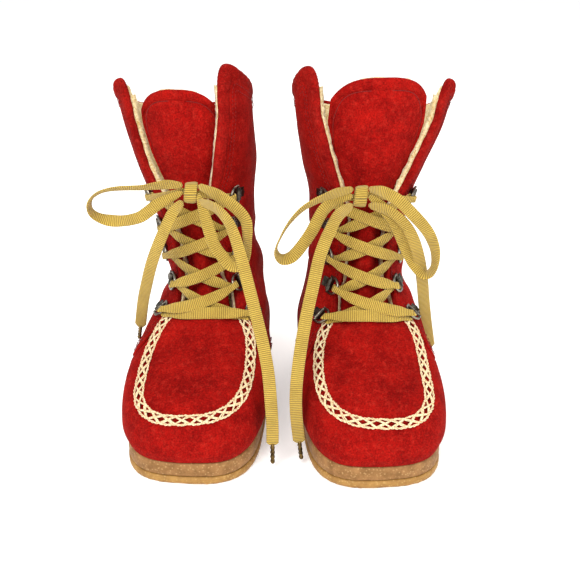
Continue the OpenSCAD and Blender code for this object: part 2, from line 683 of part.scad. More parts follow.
module bow_loops(boot) {
    color(lace_gold) for (route = LOOPS[boot]) ribbon(free_stops(boot, route), lace_t);
}

module lace_ends(boot) {
    color(lace_gold) for (route = TAILS[boot]) ribbon(free_stops(boot, route), lace_t);
}

// The metal tip on each end, in line with the end of the lace
module aglets(boot) {
    color(brass) for (route = TAILS[boot]) {
        n = len(route);
        tip = knot_place(boot) + [for (i = [0 : 2]) route[n - 1][i]];
        before = knot_place(boot) + [for (i = [0 : 2]) route[n - 2][i]];
        way = unit(tip - before);
        translate(tip) rotate([0, acos(way[2]), atan2(way[1], way[0])])
            cylinder(h = aglet_l, r = aglet_r, $fn = 24);
    }
}

for (b = [LEFT, RIGHT]) {
    name = str(BOOTS[b], "_");
    place(b) outsole();
    place(b) midsole();
    place(b) insole_board();
    place(b) footbed();
    place(b) heel_counter(b);
    place(b) vamp(b);
    place(b) apron(b);
    place(b) apron_stitching(b);
    place(b) quarter(b, MEDIAL);
    place(b) quarter(b, LATERAL);
    place(b) back_strip(b);
    place(b) fleece_lining(b);
    place(b) collar_binding(b);
    place(b) tongue(b);
    place(b) tongue_lining(b);
    place(b) ring_clips(b);
    place(b) lacing(b);
    bow_loops(b);
    lace_ends(b);
    aglets(b);
    for (side = [MEDIAL, LATERAL], k = [1 : RING_COUNT])
        place(b) d_ring(b, side, k);
}
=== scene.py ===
# A pair of lace-up winter boots: suede, fleece, flat laces and crepe soles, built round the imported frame.
import math
import bpy
import numpy as np
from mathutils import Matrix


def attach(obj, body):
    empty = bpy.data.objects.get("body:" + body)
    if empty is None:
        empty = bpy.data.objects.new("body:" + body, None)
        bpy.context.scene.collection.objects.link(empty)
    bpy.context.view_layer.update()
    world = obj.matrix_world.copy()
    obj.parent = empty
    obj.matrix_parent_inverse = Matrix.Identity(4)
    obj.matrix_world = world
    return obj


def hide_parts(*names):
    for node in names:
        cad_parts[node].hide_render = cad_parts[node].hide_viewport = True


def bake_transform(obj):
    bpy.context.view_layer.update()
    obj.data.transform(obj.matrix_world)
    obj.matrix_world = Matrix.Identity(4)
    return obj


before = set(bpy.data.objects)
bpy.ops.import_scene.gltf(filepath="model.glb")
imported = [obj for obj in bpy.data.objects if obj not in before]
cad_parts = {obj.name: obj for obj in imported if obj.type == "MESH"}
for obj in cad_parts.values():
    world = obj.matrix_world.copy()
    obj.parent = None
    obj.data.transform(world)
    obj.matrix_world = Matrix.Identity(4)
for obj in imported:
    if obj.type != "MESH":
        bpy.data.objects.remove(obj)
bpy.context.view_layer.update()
mm = 0.001
boots = ("left", "right")
sides = {"medial": -1, "lateral": 1}
print("frame loaded")

# How the pair stands on the floor, and the sole's wedge
pair = {"spread": 63.5, "toeOut": 5.0, "stagger": 5.0}
sole = {"toeY": -137.0, "heelY": 136.0, "toeStack": 17.5, "heelStack": 31.0, "tread": 6.0, "margin": 1.0}


def soleHeight(y):
    # the top of the sole: the toe's stack plus the slope times the way back from the toe
    rise, run = sole["heelStack"] - sole["toeStack"], sole["heelY"] - sole["toeY"]
    return sole["toeStack"] + rise * (y - sole["toeY"]) / run


# The levels of the upper: each row is the front's y and z, the back's y and z, the y of the widest
# place, the bluntness of front and back, and how early the level rises. Half width and lean follow them.
levels = np.array([
    [-133, soleHeight(-133) + 0.3, 134, soleHeight(134) + 0.3, -58, 3.1, 2.3, 1],
    [-137, 27, 137, 44, -60, 2.8, 2.2, 1], [-134, 43, 136, 60, -58, 2.5, 2.2, 1],
    [-119, 55, 132, 77, -54, 2.4, 2.1, 1], [-90, 68, 126, 93, -42, 2.2, 2.1, 1],
    [-61, 82, 118, 109, -22, 2.1, 2.1, 1], [-41, 98, 110, 124, 3, 2, 2.2, 1],
    [-29, 120, 103, 140, 24, 2, 2.2, 1], [-23, 146, 99, 158, 33, 2, 2.2, 0.95],
    [-21, 176, 97, 178, 37, 2, 2.2, 0.9], [-20, 210, 97, 197, 38, 2, 2.2, 0.8],
    [-19, 262, 100, 216, 38, 2, 2.2, 0.58], [-18, 336, 104, 237, 38, 2, 2.2, 0.42]])
halfWidth = {"left": [51.5, 56.5, 57, 54.5, 50, 46, 40, 37.5, 38, 41.5, 50, 59, 65],
             "right": [51.5, 56.5, 57, 54.5, 50, 45, 38.5, 36.5, 38, 43, 49, 52.5, 55]}
lean = {"left": [0, 0, 0, 0, 0, 1, 1, 0, 1, 3, 6, 10, 13],
        "right": [0, 0, 0, 0, -1, -3, -4, -1, 4, 8, 12, 17, 22]}
rim = {"tilt": {"left": 14, "right": 12}, "lift": {"left": 4, "right": -4}, "level": 9, "y": 45, "way": 60}
waist = {"y": 25, "long": 38, "level": 5, "inner": 0.12, "outer": 0.06}
toeSwing = {"y": -40, "long": 97, "far": 1.5}
# Half the gap between the facings, by level, for each boot's inner (-1) and outer (1) side
facingLevels = [6.5, 7, 8, 9, 10, 11, 12]
facing = {("left", -1): [24, 19, 17, 18, 31, 46, 54], ("right", -1): [24, 19, 16, 14, 22, 32, 37],
          ("left", 1): [24, 19, 17, 19, 34, 48, 54], ("right", 1): [24, 19, 18, 24, 35, 40, 42]}
backAngle, topLevel, throat = 172.0, 12.0, 6.4


def along(values, t):
    # a Catmull-Rom curve: the cubic blend of the four values round t
    values = np.asarray(values, float)
    i = np.clip(np.floor(t).astype(int), 0, len(values) - 2)
    f = t - i
    if values.ndim > 1:
        f = f[..., None]
    a, b, c, d = (values[np.clip(i + k, 0, len(values) - 1)] for k in (-1, 0, 1, 2))
    square, cube = 2 * a - 5 * b + 4 * c - d, 3 * b - a - 3 * c + d
    return 0.5 * (2 * b + (c - a) * f + square * f ** 2 + cube * f ** 3)


def skin(boot, angle, level):
    # the upper's surface: an egg-shaped ring at each level, x = width times sin to a power and
    # y the same with cos, z rising from front to back by a power of the way back
    angle, level = np.broadcast_arrays(np.asarray(angle, float), np.asarray(level, float))
    row, w = along(levels, level), along(halfWidth[boot], level)
    frontY, frontZ, backY, backZ, wideY, frontBlunt, backBlunt, early = np.moveaxis(row, -1, 0)
    s, c = np.sin(np.radians(angle)), np.cos(np.radians(angle))
    power = 2 / np.where(c > 0, frontBlunt, backBlunt)
    y = wideY + np.where(c > 0, frontY - wideY, backY - wideY) * np.abs(c) ** power
    share = np.clip((y - frontY) / (backY - frontY), 0, 1)
    x = w * np.sign(s) * np.abs(s) ** power
    z = frontZ + (backZ - frontZ) * share ** early
    # the waist draws in by a bell curve along y, the toe swings inward by a square, and the rim
    # rises toward the front and toward one side
    bell = np.exp(-((y - waist["y"]) / waist["long"]) ** 2)
    drawn = np.clip(1 - level / waist["level"], 0, 1) * np.where(x < 0, waist["inner"], waist["outer"]) * bell
    toe = toeSwing["far"] * np.clip((toeSwing["y"] - y) / toeSwing["long"], 0, 1) ** 2
    lift = rim["lift"][boot] * np.clip((rim["y"] - y) / rim["way"], 0, 1) - rim["tilt"][boot] * x / w / 2
    rise = np.clip((level - rim["level"]) / (topLevel - rim["level"]), 0, 1) ** 2
    return np.stack([x * (1 - drawn) - toe + along(lean[boot], level), y, z + rise * lift], -1)


def unit(v):
    return v / np.maximum(np.linalg.norm(v, axis=-1, keepdims=True), 1e-9)


def surfaceFrame(boot, angle, level):
    # directions on the upper: across it, up it, and outward, from small steps of angle and level
    across = unit(skin(boot, angle + 1, level) - skin(boot, angle - 1, level))
    up = unit(skin(boot, angle, level + 0.04) - skin(boot, angle, level - 0.04))
    return across, up, unit(np.cross(across, up))


def layer(boot, angle, level, depth):
    # a point at a depth below the outer surface
    out = surfaceFrame(boot, angle, level)[2]
    return skin(boot, angle, level) - out * np.asarray(depth, float)[..., None]


def angleOf(boot, x, level):
    # the angle at which a level has half width x: the arcsine of the share to half its bluntness
    share = np.clip(x / along(halfWidth[boot], level), 0, 0.98)
    return np.degrees(np.arcsin(share ** (along(levels, level)[..., 5] / 2)))


def toPair(boot, points):
    # turns the toe out, moves the boot to its place, and mirrors the right one
    c, s = math.cos(math.radians(pair["toeOut"])), math.sin(math.radians(pair["toeOut"]))
    x, y, z = np.moveaxis(np.asarray(points, float), -1, 0)
    sign = 1 if boot == "left" else -1
    across = sign * (pair["spread"] + x * c - y * s)
    return np.stack([across, x * s + y * c - sign * pair["stagger"] / 2, z], -1) * mm


def mix(a, b, s):
    return a + (b - a) * s


def ramp(x, low, high):
    # 0 below low, 1 above high, and an S curve between
    s = np.clip((x - low) / (high - low), 0, 1)
    return s * s * (3 - 2 * s)


def softNoise(points, size, seed):
    # value noise from -1 to 1: the smooth mix of fixed random numbers at the corners of a cube
    table = np.random.default_rng(seed).random(4096) * 2 - 1
    q = np.asarray(points, float) / size
    i = np.floor(q).astype(np.int64)
    f = q - i
    f = f * f * (3 - 2 * f)
    total = 0
    for corner in np.ndindex(2, 2, 2):
        j = i + corner
        weight = np.prod(np.where(corner, f, 1 - f), axis=-1)
        total = total + weight * table[(j[..., 0] * 73 + j[..., 1] * 1597 + j[..., 2] * 311) & 4095]
    return total


# Camera, lamps and surroundings

def aim(obj, target):
    # turns an object so that its -Z points at the target
    x, y, z = (target[k] - obj.location[k] for k in range(3))
    obj.rotation_euler = (math.atan2(math.hypot(x, y), -z), 0, math.atan2(-x, y))


view = {"place": (0, -0.7, 0.4), "down": 22.0, "lens": 56.3, "shift": (0.0112, -0.0293)}
camData = bpy.data.cameras.new("camera")
camData.lens, camData.sensor_width = view["lens"], 36
camData.shift_x, camData.shift_y = view["shift"]
camera = bpy.data.objects.new("camera", camData)
camera.location = view["place"]
camera.rotation_euler = (math.radians(90 - view["down"]), 0, 0)
bpy.context.scene.collection.objects.link(camera)
bpy.context.scene.camera = camera
bpy.context.scene.view_settings.view_transform = "Standard"

lamps = {
    "keyLamp": {"place": (-0.5, -1.2, 1.25), "size": 0.7, "power": 22.0},
    "fillLamp": {"place": (1.1, -1.0, 0.8), "size": 0.9, "power": 9.0},
    "backLamp": {"place": (0.2, 1.1, 1.3), "size": 1.0, "power": 12.0}}
for name, lamp in lamps.items():
    data = bpy.data.lights.new(name, "AREA")
    data.size, data.energy = lamp["size"], lamp["power"]
    obj = bpy.data.objects.new(name, data)
    obj.location = lamp["place"]
    aim(obj, (0, 0, 0.12))
    bpy.context.scene.collection.objects.link(obj)
world = bpy.data.worlds.new("studio")
bpy.context.scene.world = world
world.use_nodes = True
world.node_tree.nodes["Background"].inputs[0].default_value = (1, 1, 1, 1)
world.node_tree.nodes["Background"].inputs[1].default_value = 0.75


# Materials

def linear(hexColour):
    # sRGB hex to linear: each channel over 12.92 when small, or ((c + 0.055) / 1.055) to the power 2.4
    c = [int(hexColour[k:k + 2], 16) / 255 for k in (0, 2, 4)]
    return [v / 12.92 if v < 0.04045 else ((v + 0.055) / 1.055) ** 2.4 for v in c] + [1]


def addNode(tree, kind, inputs=(), **settings):
    # one node with its settings; an input is a plain value or the socket that feeds it
    node = tree.nodes.new("ShaderNode" + kind)
    for key, value in settings.items():
        setattr(node, key, value)
    for key, value in dict(inputs).items():
        socket = node.inputs[key]
        if isinstance(value, bpy.types.NodeSocket):
            tree.links.new(value, socket)
        else:
            socket.default_value = value
    return node


def startMaterial(name, **surface):
    material = bpy.data.materials.new(name)
    material.use_nodes = True
    shader = material.node_tree.nodes["Principled BSDF"]
    for key, value in surface.items():
        shader.inputs[key.replace("_", " ")].default_value = value
    return material, material.node_tree, shader


def blendColours(tree, factor, low, high, way="MIX"):
    # two colours mixed by a factor; a hex string is turned into its linear colour
    node = addNode(tree, "Mix", {0: factor}, data_type="RGBA", blend_type=way)
    for index, colour in ((6, low), (7, high)):
        if isinstance(colour, str):
            node.inputs[index].default_value = linear(colour)
        else:
            tree.links.new(colour, node.inputs[index])
    return node.outputs[2]


def remap(tree, value, low, high, top=1.0, bottom=0.0):
    # a value stretched evenly, so that low gives bottom and high gives top, and held between them
    node = addNode(tree, "MapRange", {0: value, 1: low, 2: high, 3: bottom, 4: top})
    return node.outputs[0]


def addBump(tree, shader, height, strength, distance):
    # the surface rises and falls with a height map
    bump = addNode(tree, "Bump", {"Strength": strength, "Distance": distance, "Height": height})
    tree.links.new(bump.outputs[0], shader.inputs["Normal"])


def noise(tree, scale, detail, roughness=0.5, **more):
    # a noise that stays with the object
    place = addNode(tree, "TexCoord").outputs["Object"]
    inputs = {"Vector": place, "Scale": scale, "Detail": detail, "Roughness": roughness}
    return addNode(tree, "TexNoise", {**inputs, **more}).outputs[0]


def wave(tree, value, pitch):
    # the sine of a length taken round once in each pitch
    turns = addNode(tree, "Math", {0: value, 1: 2 * math.pi / pitch}, operation="MULTIPLY")
    return addNode(tree, "Math", {0: turns.outputs[0]}, operation="SINE").outputs[0]


def makeSuede(name, deep, bright, worn):
    # suede is buffed leather: no gloss, a velvet sheen, patches where the nap lies another way,
    # and short fibres about 0.4 mm long, drawn at 1.3 mm so that they show
    material, tree, shader = startMaterial(name, Roughness=0.92, Sheen_Weight=0.06, Sheen_Roughness=0.5,
                                           Specular_IOR_Level=0.06)
    shader.inputs["Sheen Tint"].default_value = linear("f05a48")
    patches, nap, fibre = noise(tree, 55, 5, 0.62), noise(tree, 240, 4, 0.7), noise(tree, 760, 4, 0.8)
    base = blendColours(tree, remap(tree, patches, 0.36, 0.66), deep, bright)
    base = blendColours(tree, remap(tree, nap, 0.5, 0.74, top=0.5), base, worn)
    # the fibres' own light and shade, from half to a third more than the base
    grain = remap(tree, fibre, 0.34, 0.66, top=1.34, bottom=0.5)
    tone = addNode(tree, "CombineColor", {0: grain, 1: grain, 2: grain})
    base = blendColours(tree, 1.0, base, tone.outputs[0], "MULTIPLY")
    tree.links.new(base, shader.inputs["Base Color"])
    coarse = addNode(tree, "Bump", {"Strength": 0.35, "Distance": 0.0006, "Height": nap})
    fine = addNode(tree, "Bump", {"Strength": 0.8, "Distance": 0.0005, "Height": fibre,
                                  "Normal": coarse.outputs[0]})
    tree.links.new(fine.outputs[0], shader.inputs["Normal"])
    return material


def makeFleece(name, deep, light):
    # wool pile: matt curls about 3 mm across with finer fibres on them, with painted shade: darker and
    # yellower in the hollows
    material, tree, shader = startMaterial(name, Roughness=0.95, Sheen_Weight=0.35, Sheen_Roughness=0.6,
                                           Specular_IOR_Level=0.1)
    curls = noise(tree, 330, 4, 0.65, Distortion=1.2)
    patches = noise(tree, 70, 3)
    # painted shade: the deep colour where the curls are low, the light one on their tops
    base = blendColours(tree, remap(tree, curls, 0.35, 0.62), deep, light)
    spots = remap(tree, patches, 0.5, 0.75, top=0.5)
    tree.links.new(blendColours(tree, spots, base, deep), shader.inputs["Base Color"])
    addBump(tree, shader, curls, 0.8, 0.0014)
    return material


def makeCrepe(name, deep, light, speck):
    # crepe rubber: a tan, faintly waxy crumb of about 2 mm with paler specks and darker scuffs
    material, tree, shader = startMaterial(name, Roughness=0.62, Specular_IOR_Level=0.3)
    place = addNode(tree, "TexCoord").outputs["Object"]
    crumb = addNode(tree, "TexVoronoi", {"Vector": place, "Scale": 420, "Randomness": 1.0})
    cloud = noise(tree, 120, 6, 0.7)
    base = blendColours(tree, remap(tree, cloud, 0.38, 0.64), deep, light)
    pale = remap(tree, crumb.outputs["Distance"], 0.35, 0.12, top=0.55)
    tree.links.new(blendColours(tree, pale, base, speck), shader.inputs["Base Color"])
    addBump(tree, shader, cloud, 0.5, 0.0006)
    return material


def makeLace(name, deep, light):
    # a flat braid: ribs 1.1 mm apart straight across the lace, drawn 1.5 mm apart so that they show,
    # and warp threads 0.9 mm apart along it, on the lace's own UV map, which is in metres along and across
    material, tree, shader = startMaterial(name, Roughness=0.8, Sheen_Weight=0.2, Specular_IOR_Level=0.25)
    uv = addNode(tree, "UVMap", uv_map="UVMap").outputs[0]
    parts = addNode(tree, "SeparateXYZ", {0: uv})
    ribs, warps = wave(tree, parts.outputs[0], 0.0015), wave(tree, parts.outputs[1], 0.0009)
    height = addNode(tree, "Math", {0: warps, 1: 0.22, 2: ribs}, operation="MULTIPLY_ADD").outputs[0]
    soft = remap(tree, noise(tree, 90, 4), 0.4, 0.75, top=0.25)
    # painted shade and light: the colour follows the braid's height, darker in the grooves between ribs and
    # warps, paler on their tops
    base = blendColours(tree, remap(tree, height, -1.3, 0.3), deep, light)
    tree.links.new(blendColours(tree, soft, base, deep), shader.inputs["Base Color"])
    addBump(tree, shader, height, 0.8, 0.0004)
    return material


def makeThread(name, deep, light):
    # waxed twisted cotton: plies about 0.8 mm apart along the strand, with painted shade between them
    material, tree, shader = startMaterial(name, Roughness=0.7, Specular_IOR_Level=0.3)
    ply = noise(tree, 900, 2)
    # painted shade: the deep colour where the plies dip, the light one on their tops
    base = blendColours(tree, remap(tree, ply, 0.35, 0.65), deep, light)
    tree.links.new(base, shader.inputs["Base Color"])
    addBump(tree, shader, ply, 0.6, 0.0003)
    return material


def makeMetal(name, deep, light, roughness):
    # plated wire and sheet: mostly smooth, with rubbed patches a few millimetres wide
    material, tree, shader = startMaterial(name, Metallic=1.0)
    rub = noise(tree, 260, 5, 0.65)
    base = blendColours(tree, remap(tree, rub, 0.4, 0.62), deep, light)
    tree.links.new(base, shader.inputs["Base Color"])
    gloss = remap(tree, rub, 0.3, 0.7, top=roughness, bottom=roughness + 0.14)
    tree.links.new(gloss, shader.inputs["Roughness"])
    addBump(tree, shader, rub, 0.2, 0.0002)
    return material


suede = makeSuede("brushedSuede", "7c0806", "9c110b", "b82c21")
bindingSuede = makeSuede("foldedSuede", "780907", "96150f", "b23026")
fleece = makeFleece("woolPile", "c3a05c", "f9e8b8")
crepe = makeCrepe("crepeSide", "7a5429", "9c7142", "c09a66")
treadCrepe = makeCrepe("crepeTread", "8c6430", "aa8042", "c4a264")
lace = makeLace("flatBraid", "6a4d14", "cfae4a")
thread = makeThread("waxedThread", "c9a878", "f4e3bd")
seamThread = makeThread("seamThread", "5f0a08", "8c1712")
gunmetal = makeMetal("gunmetalPlate", "3a3631", "6e675c", 0.3)
ringMetal = makeMetal("gunmetalWire", "57524a", "9c9484", 0.24)
tipBrass = makeMetal("antiqueBrass", "2e2416", "7a6238", 0.34)
board = makeThread("pressedBoard", "7a6248", "a08a68")
print("materials made")


# Meshes

def addMesh(name, points, faces, material, body, replaced=(), uv=None):
    # a mesh from metre points and faces, shaded smooth, riding on its body
    data = bpy.data.meshes.new(name)
    data.from_pydata(np.asarray(points).reshape(-1, 3).tolist(), [], np.asarray(faces).tolist()
                     if isinstance(faces, np.ndarray) else faces)
    data.polygons.foreach_set("use_smooth", np.ones(len(data.polygons), bool))
    if uv is not None:
        loops = np.zeros(len(data.loops), np.int32)
        data.loops.foreach_get("vertex_index", loops)
        corners = uv.reshape(-1, 2)[loops].ravel().astype(np.float32)
        data.uv_layers.new(name="UVMap").data.foreach_set("uv", corners)
    data.materials.append(material)
    obj = bpy.data.objects.new(name, data)
    bpy.context.scene.collection.objects.link(obj)
    if body:
        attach(obj, body)
    if replaced:
        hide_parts(*replaced)
    return obj


def gridFaces(rows, columns, flip=False, closeRows=False, closeColumns=False):
    # the four-sided faces between the points of a grid, wrapping round where a way is closed
    i = np.arange(rows if closeRows else rows - 1)[:, None]
    j = np.arange(columns if closeColumns else columns - 1)[None, :]
    a, b = i * columns + j, i * columns + (j + 1) % columns
    c, d = (i + 1) % rows * columns + (j + 1) % columns, (i + 1) % rows * columns + j
    quads = np.stack([a, b, c, d], -1).reshape(-1, 4)
    return quads[:, ::-1] if flip else quads


def sheetFaces(rows, columns, flip=False):
    # the faces of a closed plate: outer grid, inner grid turned over, and four strips of rim
    outer, size = gridFaces(rows, columns), rows * columns
    border = np.concatenate([np.arange(columns), np.arange(1, rows) * columns + columns - 1,
                             (rows - 1) * columns + np.arange(columns - 2, -1, -1),
                             np.arange(rows - 2, 0, -1) * columns])
    after = np.roll(border, -1)
    edge = np.stack([border, border + size, after + size, after], -1)
    quads = np.concatenate([outer, outer[:, ::-1] + size, edge])
    return quads[:, ::-1] if flip else quads


def tubeFaces(rows, around, start=0, flip=False):
    # the faces of a closed tube: its rings joined all round, and one many-sided face at each end
    faces = (gridFaces(rows, around, closeColumns=True, flip=flip) + start).tolist()
    ends = [list(range(start, start + around))[::-1],
            list(range(start + (rows - 1) * around, start + rows * around))]
    return faces + ([end[::-1] for end in ends] if flip else ends)


def fanFaces(start, around, middle, flip=False):
    # triangles from a ring of points to the one in its middle
    k = np.arange(around)
    fan = np.stack([start + k, start + (k + 1) % around, np.full(around, middle)], -1)
    return fan[:, ::-1] if flip else fan


def mirrored(boot, side=1):
    # whether a grid laid out for the left boot's outer side has to be turned over
    return (boot == "right") != (side < 0)


def edgeWay(grid):
    # the distance in millimetres from each point to the nearest of the grid's four edges, along the grid
    across = np.linalg.norm(np.diff(grid, axis=0), axis=-1).cumsum(0)
    across = np.concatenate([np.zeros((1, grid.shape[1])), across])
    up = np.linalg.norm(np.diff(grid, axis=1), axis=-1).cumsum(1)
    up = np.concatenate([np.zeros((grid.shape[0], 1)), up], 1)
    return across, across[-1:] - across, up, up[:, -1:] - up


def spaced(count, length, edge=1.6):
    # even shares from 0 to 1 with three extra ones near each end, so that an edge can be rounded
    near = np.array([0.12, 0.4, 0.75]) * edge / length
    return np.sort(np.concatenate([np.linspace(0, 1, count), near, 1 - near]))


def rounded(distance, radius):
    # how far a rounded edge lies below its sheet: a quarter circle of that radius
    s = 1 - np.clip(distance / radius, 0, 1)
    return radius * (1 - np.sqrt(1 - s * s))


suedeThick = 1.8


def suedeSheet(name, boot, side, angle, level, node, depth=0.0, thick=suedeThick, relief=None,
               edges=(1, 1, 1, 1)):
    # a sheet of suede on the upper: the outer face at its depth less the relief, its edges rounded
    # where their mark is 1
    points = skin(boot, angle * side, level)
    out = surfaceFrame(boot, angle * side, level)[2]
    ways = edgeWay(points)
    far = np.full_like(ways[0], 9.0)
    near = np.minimum.reduce([w if on else far for w, on in zip(ways, edges)])
    fall = rounded(near, thick / 2)
    height = relief(points, ways) if relief else 0
    lumps = 0.22 * softNoise(points, 17, 3) + 0.1 * softNoise(points, 7, 4)
    outer = points + out * (-depth - fall + height + lumps)[..., None]
    inner = points - out * (depth + thick - fall - np.minimum(height, 0))[..., None]
    faces = sheetFaces(*angle.shape, flip=mirrored(boot, side))
    return addMesh(boot + name, toPair(boot, np.stack([outer, inner])), faces, suede, boot + "_boot",
                   (boot + node,))


def tube(name, paths, radius, material, body, replaced=(), around=6):
    # round strands: a ring of points carried along each path, square to it, with closed ends
    turn = np.linspace(0, 2 * np.pi, around, endpoint=False)[:, None]
    points, faces, start = [], [], 0
    for path in paths:
        path = np.asarray(path, float)
        count = len(path)
        way = unit(np.gradient(path, axis=0))
        aside = unit(np.cross(way, np.array([0.31, 0.2, 0.93])))
        up = np.cross(way, aside)
        # the end rings are a quarter as wide
        size = radius * np.minimum(1, 0.25 + np.minimum(np.arange(count), np.arange(count)[::-1]))
        spokes = aside[:, None] * np.cos(turn) + up[:, None] * np.sin(turn)
        points.append((path[:, None] + size[:, None, None] * spokes).reshape(-1, 3))
        faces += tubeFaces(count, around, start)
        start += count * around
    return addMesh(name, np.concatenate(points), faces, material, body, replaced)


shortStitch = {"pitch": 3.2, "long": 2.2, "rise": 0.416, "sunk": 0.1, "first": 0.8, "radius": 0.3}


def stitches(path, out):
    # short thread arcs along a line of points: each rises from the suede by a half sine and goes back
    step = np.concatenate([[0], np.linalg.norm(np.diff(path, axis=0), axis=-1).cumsum()])
    share = np.linspace(0, 1, 5)
    rise = shortStitch["rise"] * np.sin(np.pi * share) - shortStitch["sunk"]
    strands = []
    for s in np.arange(shortStitch["first"], step[-1] - shortStitch["long"], shortStitch["pitch"]):
        at = s + shortStitch["long"] * share
        place = np.stack([np.interp(at, step, path[:, k]) for k in range(3)], -1)
        normal = unit(np.stack([np.interp(at, step, out[:, k]) for k in range(3)], -1))
        strands.append(place + normal * rise[:, None])
    return strands


# Laces: the same routes as the solids, in millimetres

ring = {"radius": 6.5, "leg": 4.0, "tilt": 12.0, "height": 3.5}
ringSpots = [(37, 5.55), (26, 6.75), (28, 7.65), (28, 8.5), (34, 9.35)]
laceSize = {"wide": 9.4, "thick": 1.4, "turn": 3.0, "narrow": 5.4, "gather": 4.0, "gatherWay": 14.0,
            "reach": 8.5}
laceVisits = [(1, 5, 1), (-1, 4, -1), (1, 3, 1), (-1, 2, -1), (1, 1, 1),
              (-1, 1, 1), (1, 2, -1), (-1, 3, 1), (1, 4, -1), (-1, 5, 1)]
laceHeights = [0.9, 3.2, 1.1, 6.2, 4.4, 2.6, 3.6, 0.9, 3.2]
laceBow = [0, 0, 0, 0.05, 0.36, 0.05, 0, 0, 0]  # how far each crossing bows up, in levels
knotSpots = {"left": (-7, -30, 194), "right": (5, -33, 196)}
knotSize = {"wide": 9.6, "deep": 9.5, "high": 17.0, "round": 7.0}


def ringFrame(boot, side, k):
    # a ring's bar: its place, the way to the facing, along the bar, and outward
    x, level = ringSpots[k - 1]
    angle = side * angleOf(boot, np.array(x), np.array(level))
    across, _, out = surfaceFrame(boot, angle, np.array(level))
    toward = -side * across
    return skin(boot, angle, np.array(level)) + out * ring["height"], toward, np.cross(out, toward), out


def wireFrame(boot, side, k):
    # the middle of the ring's round end, tilted out from the suede
    place, toward, bar, out = ringFrame(boot, side, k)
    c, s = math.cos(math.radians(ring["tilt"])), math.sin(math.radians(ring["tilt"]))
    ahead = toward * c + out * s
    upward = bar * (1 if bar[2] > 0 else -1)
    return place + ahead * (ring["leg"] + ring["radius"]), ahead, upward, out * c - toward * s


def turnStops(boot, visit):
    # half a turn of lace round the wire, over it or under it first
    place, ahead, bar, out = wireFrame(boot, visit[0], visit[1])
    angles = np.radians([90, 125, 160, 200, 235, 270])[::1 if visit[2] > 0 else -1]
    return [(place + (ahead * math.cos(a) + out * math.sin(a)) * laceSize["turn"], bar, laceSize["narrow"])
            for a in angles]


def laceRun(boot):
    # knot, ring, crossing, ring and so on down one side and up the other
    turns = [turnStops(boot, v) for v in laceVisits]
    spots = []
    for side, k, _ in laceVisits:
        x, level = ringSpots[k - 1]
        spots.append((side * float(angleOf(boot, np.array(x - laceSize["reach"]), np.array(level))), level))
    knot = np.array(knotSpots[boot], float)
    first = (knot + [4, 2, 1], turns[0][0][1], laceSize["narrow"])
    last = (knot + [-4, 2, -1], turns[-1][5][1], laceSize["narrow"])

    def toKnot(a, b):
        # a straight way that bows 2 mm forward
        return [(mix(a[0], b[0], s) - [0, 2 * math.sin(math.pi * s), 0], mix(a[1], b[1], s),
                 laceSize["narrow"]) for s in (0.2, 0.4, 0.6, 0.8)]

    def strand(a, b, spotA, spotB, height, bow):
        # the shaft's own surface between two rings, with each end's miss faded in by a square
        off = [end[0] - layer(boot, np.array(spot[0]), np.array(spot[1]), np.array(-height))
               for end, spot in ((a, spotA), (b, spotB))]
        stops = []
        for s in (0.08, 0.2, 0.35, 0.5, 0.65, 0.8, 0.92):
            level = mix(spotA[1], spotB[1], s) + bow * math.sin(math.pi * s)
            place = layer(boot, np.array(mix(spotA[0], spotB[0], s)), np.array(level), np.array(-height))
            full = min(max(3 * math.sin(math.pi * s) - 1, 0), 1)
            stops.append((place + off[0] * (1 - s) ** 2 + off[1] * s * s, mix(a[1], b[1], s),
                          mix(laceSize["narrow"], laceSize["wide"], full)))
        return stops

    stops = [first] + toKnot(first, turns[0][0])
    for k, turn in enumerate(turns):
        stops += turn
        if k < len(turns) - 1:
            stops += strand(turn[5], turns[k + 1][0], spots[k], spots[k + 1], laceHeights[k], laceBow[k])
    return stops + toKnot(turns[-1][5], last) + [last]


def ribbonSection(count=20):
    # a flat lace's section: a long oval whose ends are fuller than an ellipse's, from -1 to 1 each way
    turn = np.linspace(0, 2 * np.pi, count, endpoint=False)
    c, s = np.cos(turn), np.sin(turn)
    return np.sign(c) * np.abs(c) ** 0.55, np.sign(s) * np.abs(s) ** 0.8


def ribbon(name, places, wides, widths, body, node, perStop=6):
    # a flat lace through its stops: places, width directions and widths follow Catmull-Rom curves,
    # and the section is carried along them; UV is the length along and the way across, in metres
    t = np.linspace(0, len(places) - 1, (len(places) - 1) * perStop + 1)
    path, wide = along(places, t), unit(along(wides, t))
    width = along(np.asarray(widths, float)[:, None], t)[:, 0]
    way = unit(np.gradient(path, axis=0))
    wide = unit(wide - way * (wide * way).sum(-1, keepdims=True))
    thick = np.cross(wide, way)
    across, over = ribbonSection()
    # half the thickness: fuller where the lace is gathered in the knot, thinner where a ring folds it
    gathered, folded = np.clip((laceSize["narrow"] - 0.2 - width) / 2, 0, 1), ramp(8 - width, 0, 2)
    half = laceSize["thick"] / 2 * (1 + 0.7 * gathered - 0.14 * folded)
    ends = np.minimum(1, 0.35 + 0.65 * np.minimum(np.arange(len(t)), np.arange(len(t))[::-1]) / 2)
    w, h = (width / 2 * ends)[:, None, None], (half * ends)[:, None, None]
    points = path[:, None] + wide[:, None] * across[:, None] * w + thick[:, None] * over[:, None] * h
    length = np.concatenate([[0], np.linalg.norm(np.diff(path, axis=0), axis=-1).cumsum()])
    uv = np.stack([np.broadcast_to(length[:, None], points.shape[:2]), across * w[..., 0]], -1) * mm
    faces = tubeFaces(*points.shape[:2], flip=True)
    return addMesh(name, points * mm, faces, lace, body, (node,), uv), path * mm, length[-1] * mm


def knotPlace(boot):
    return toPair(boot, np.array(knotSpots[boot], float)) / mm


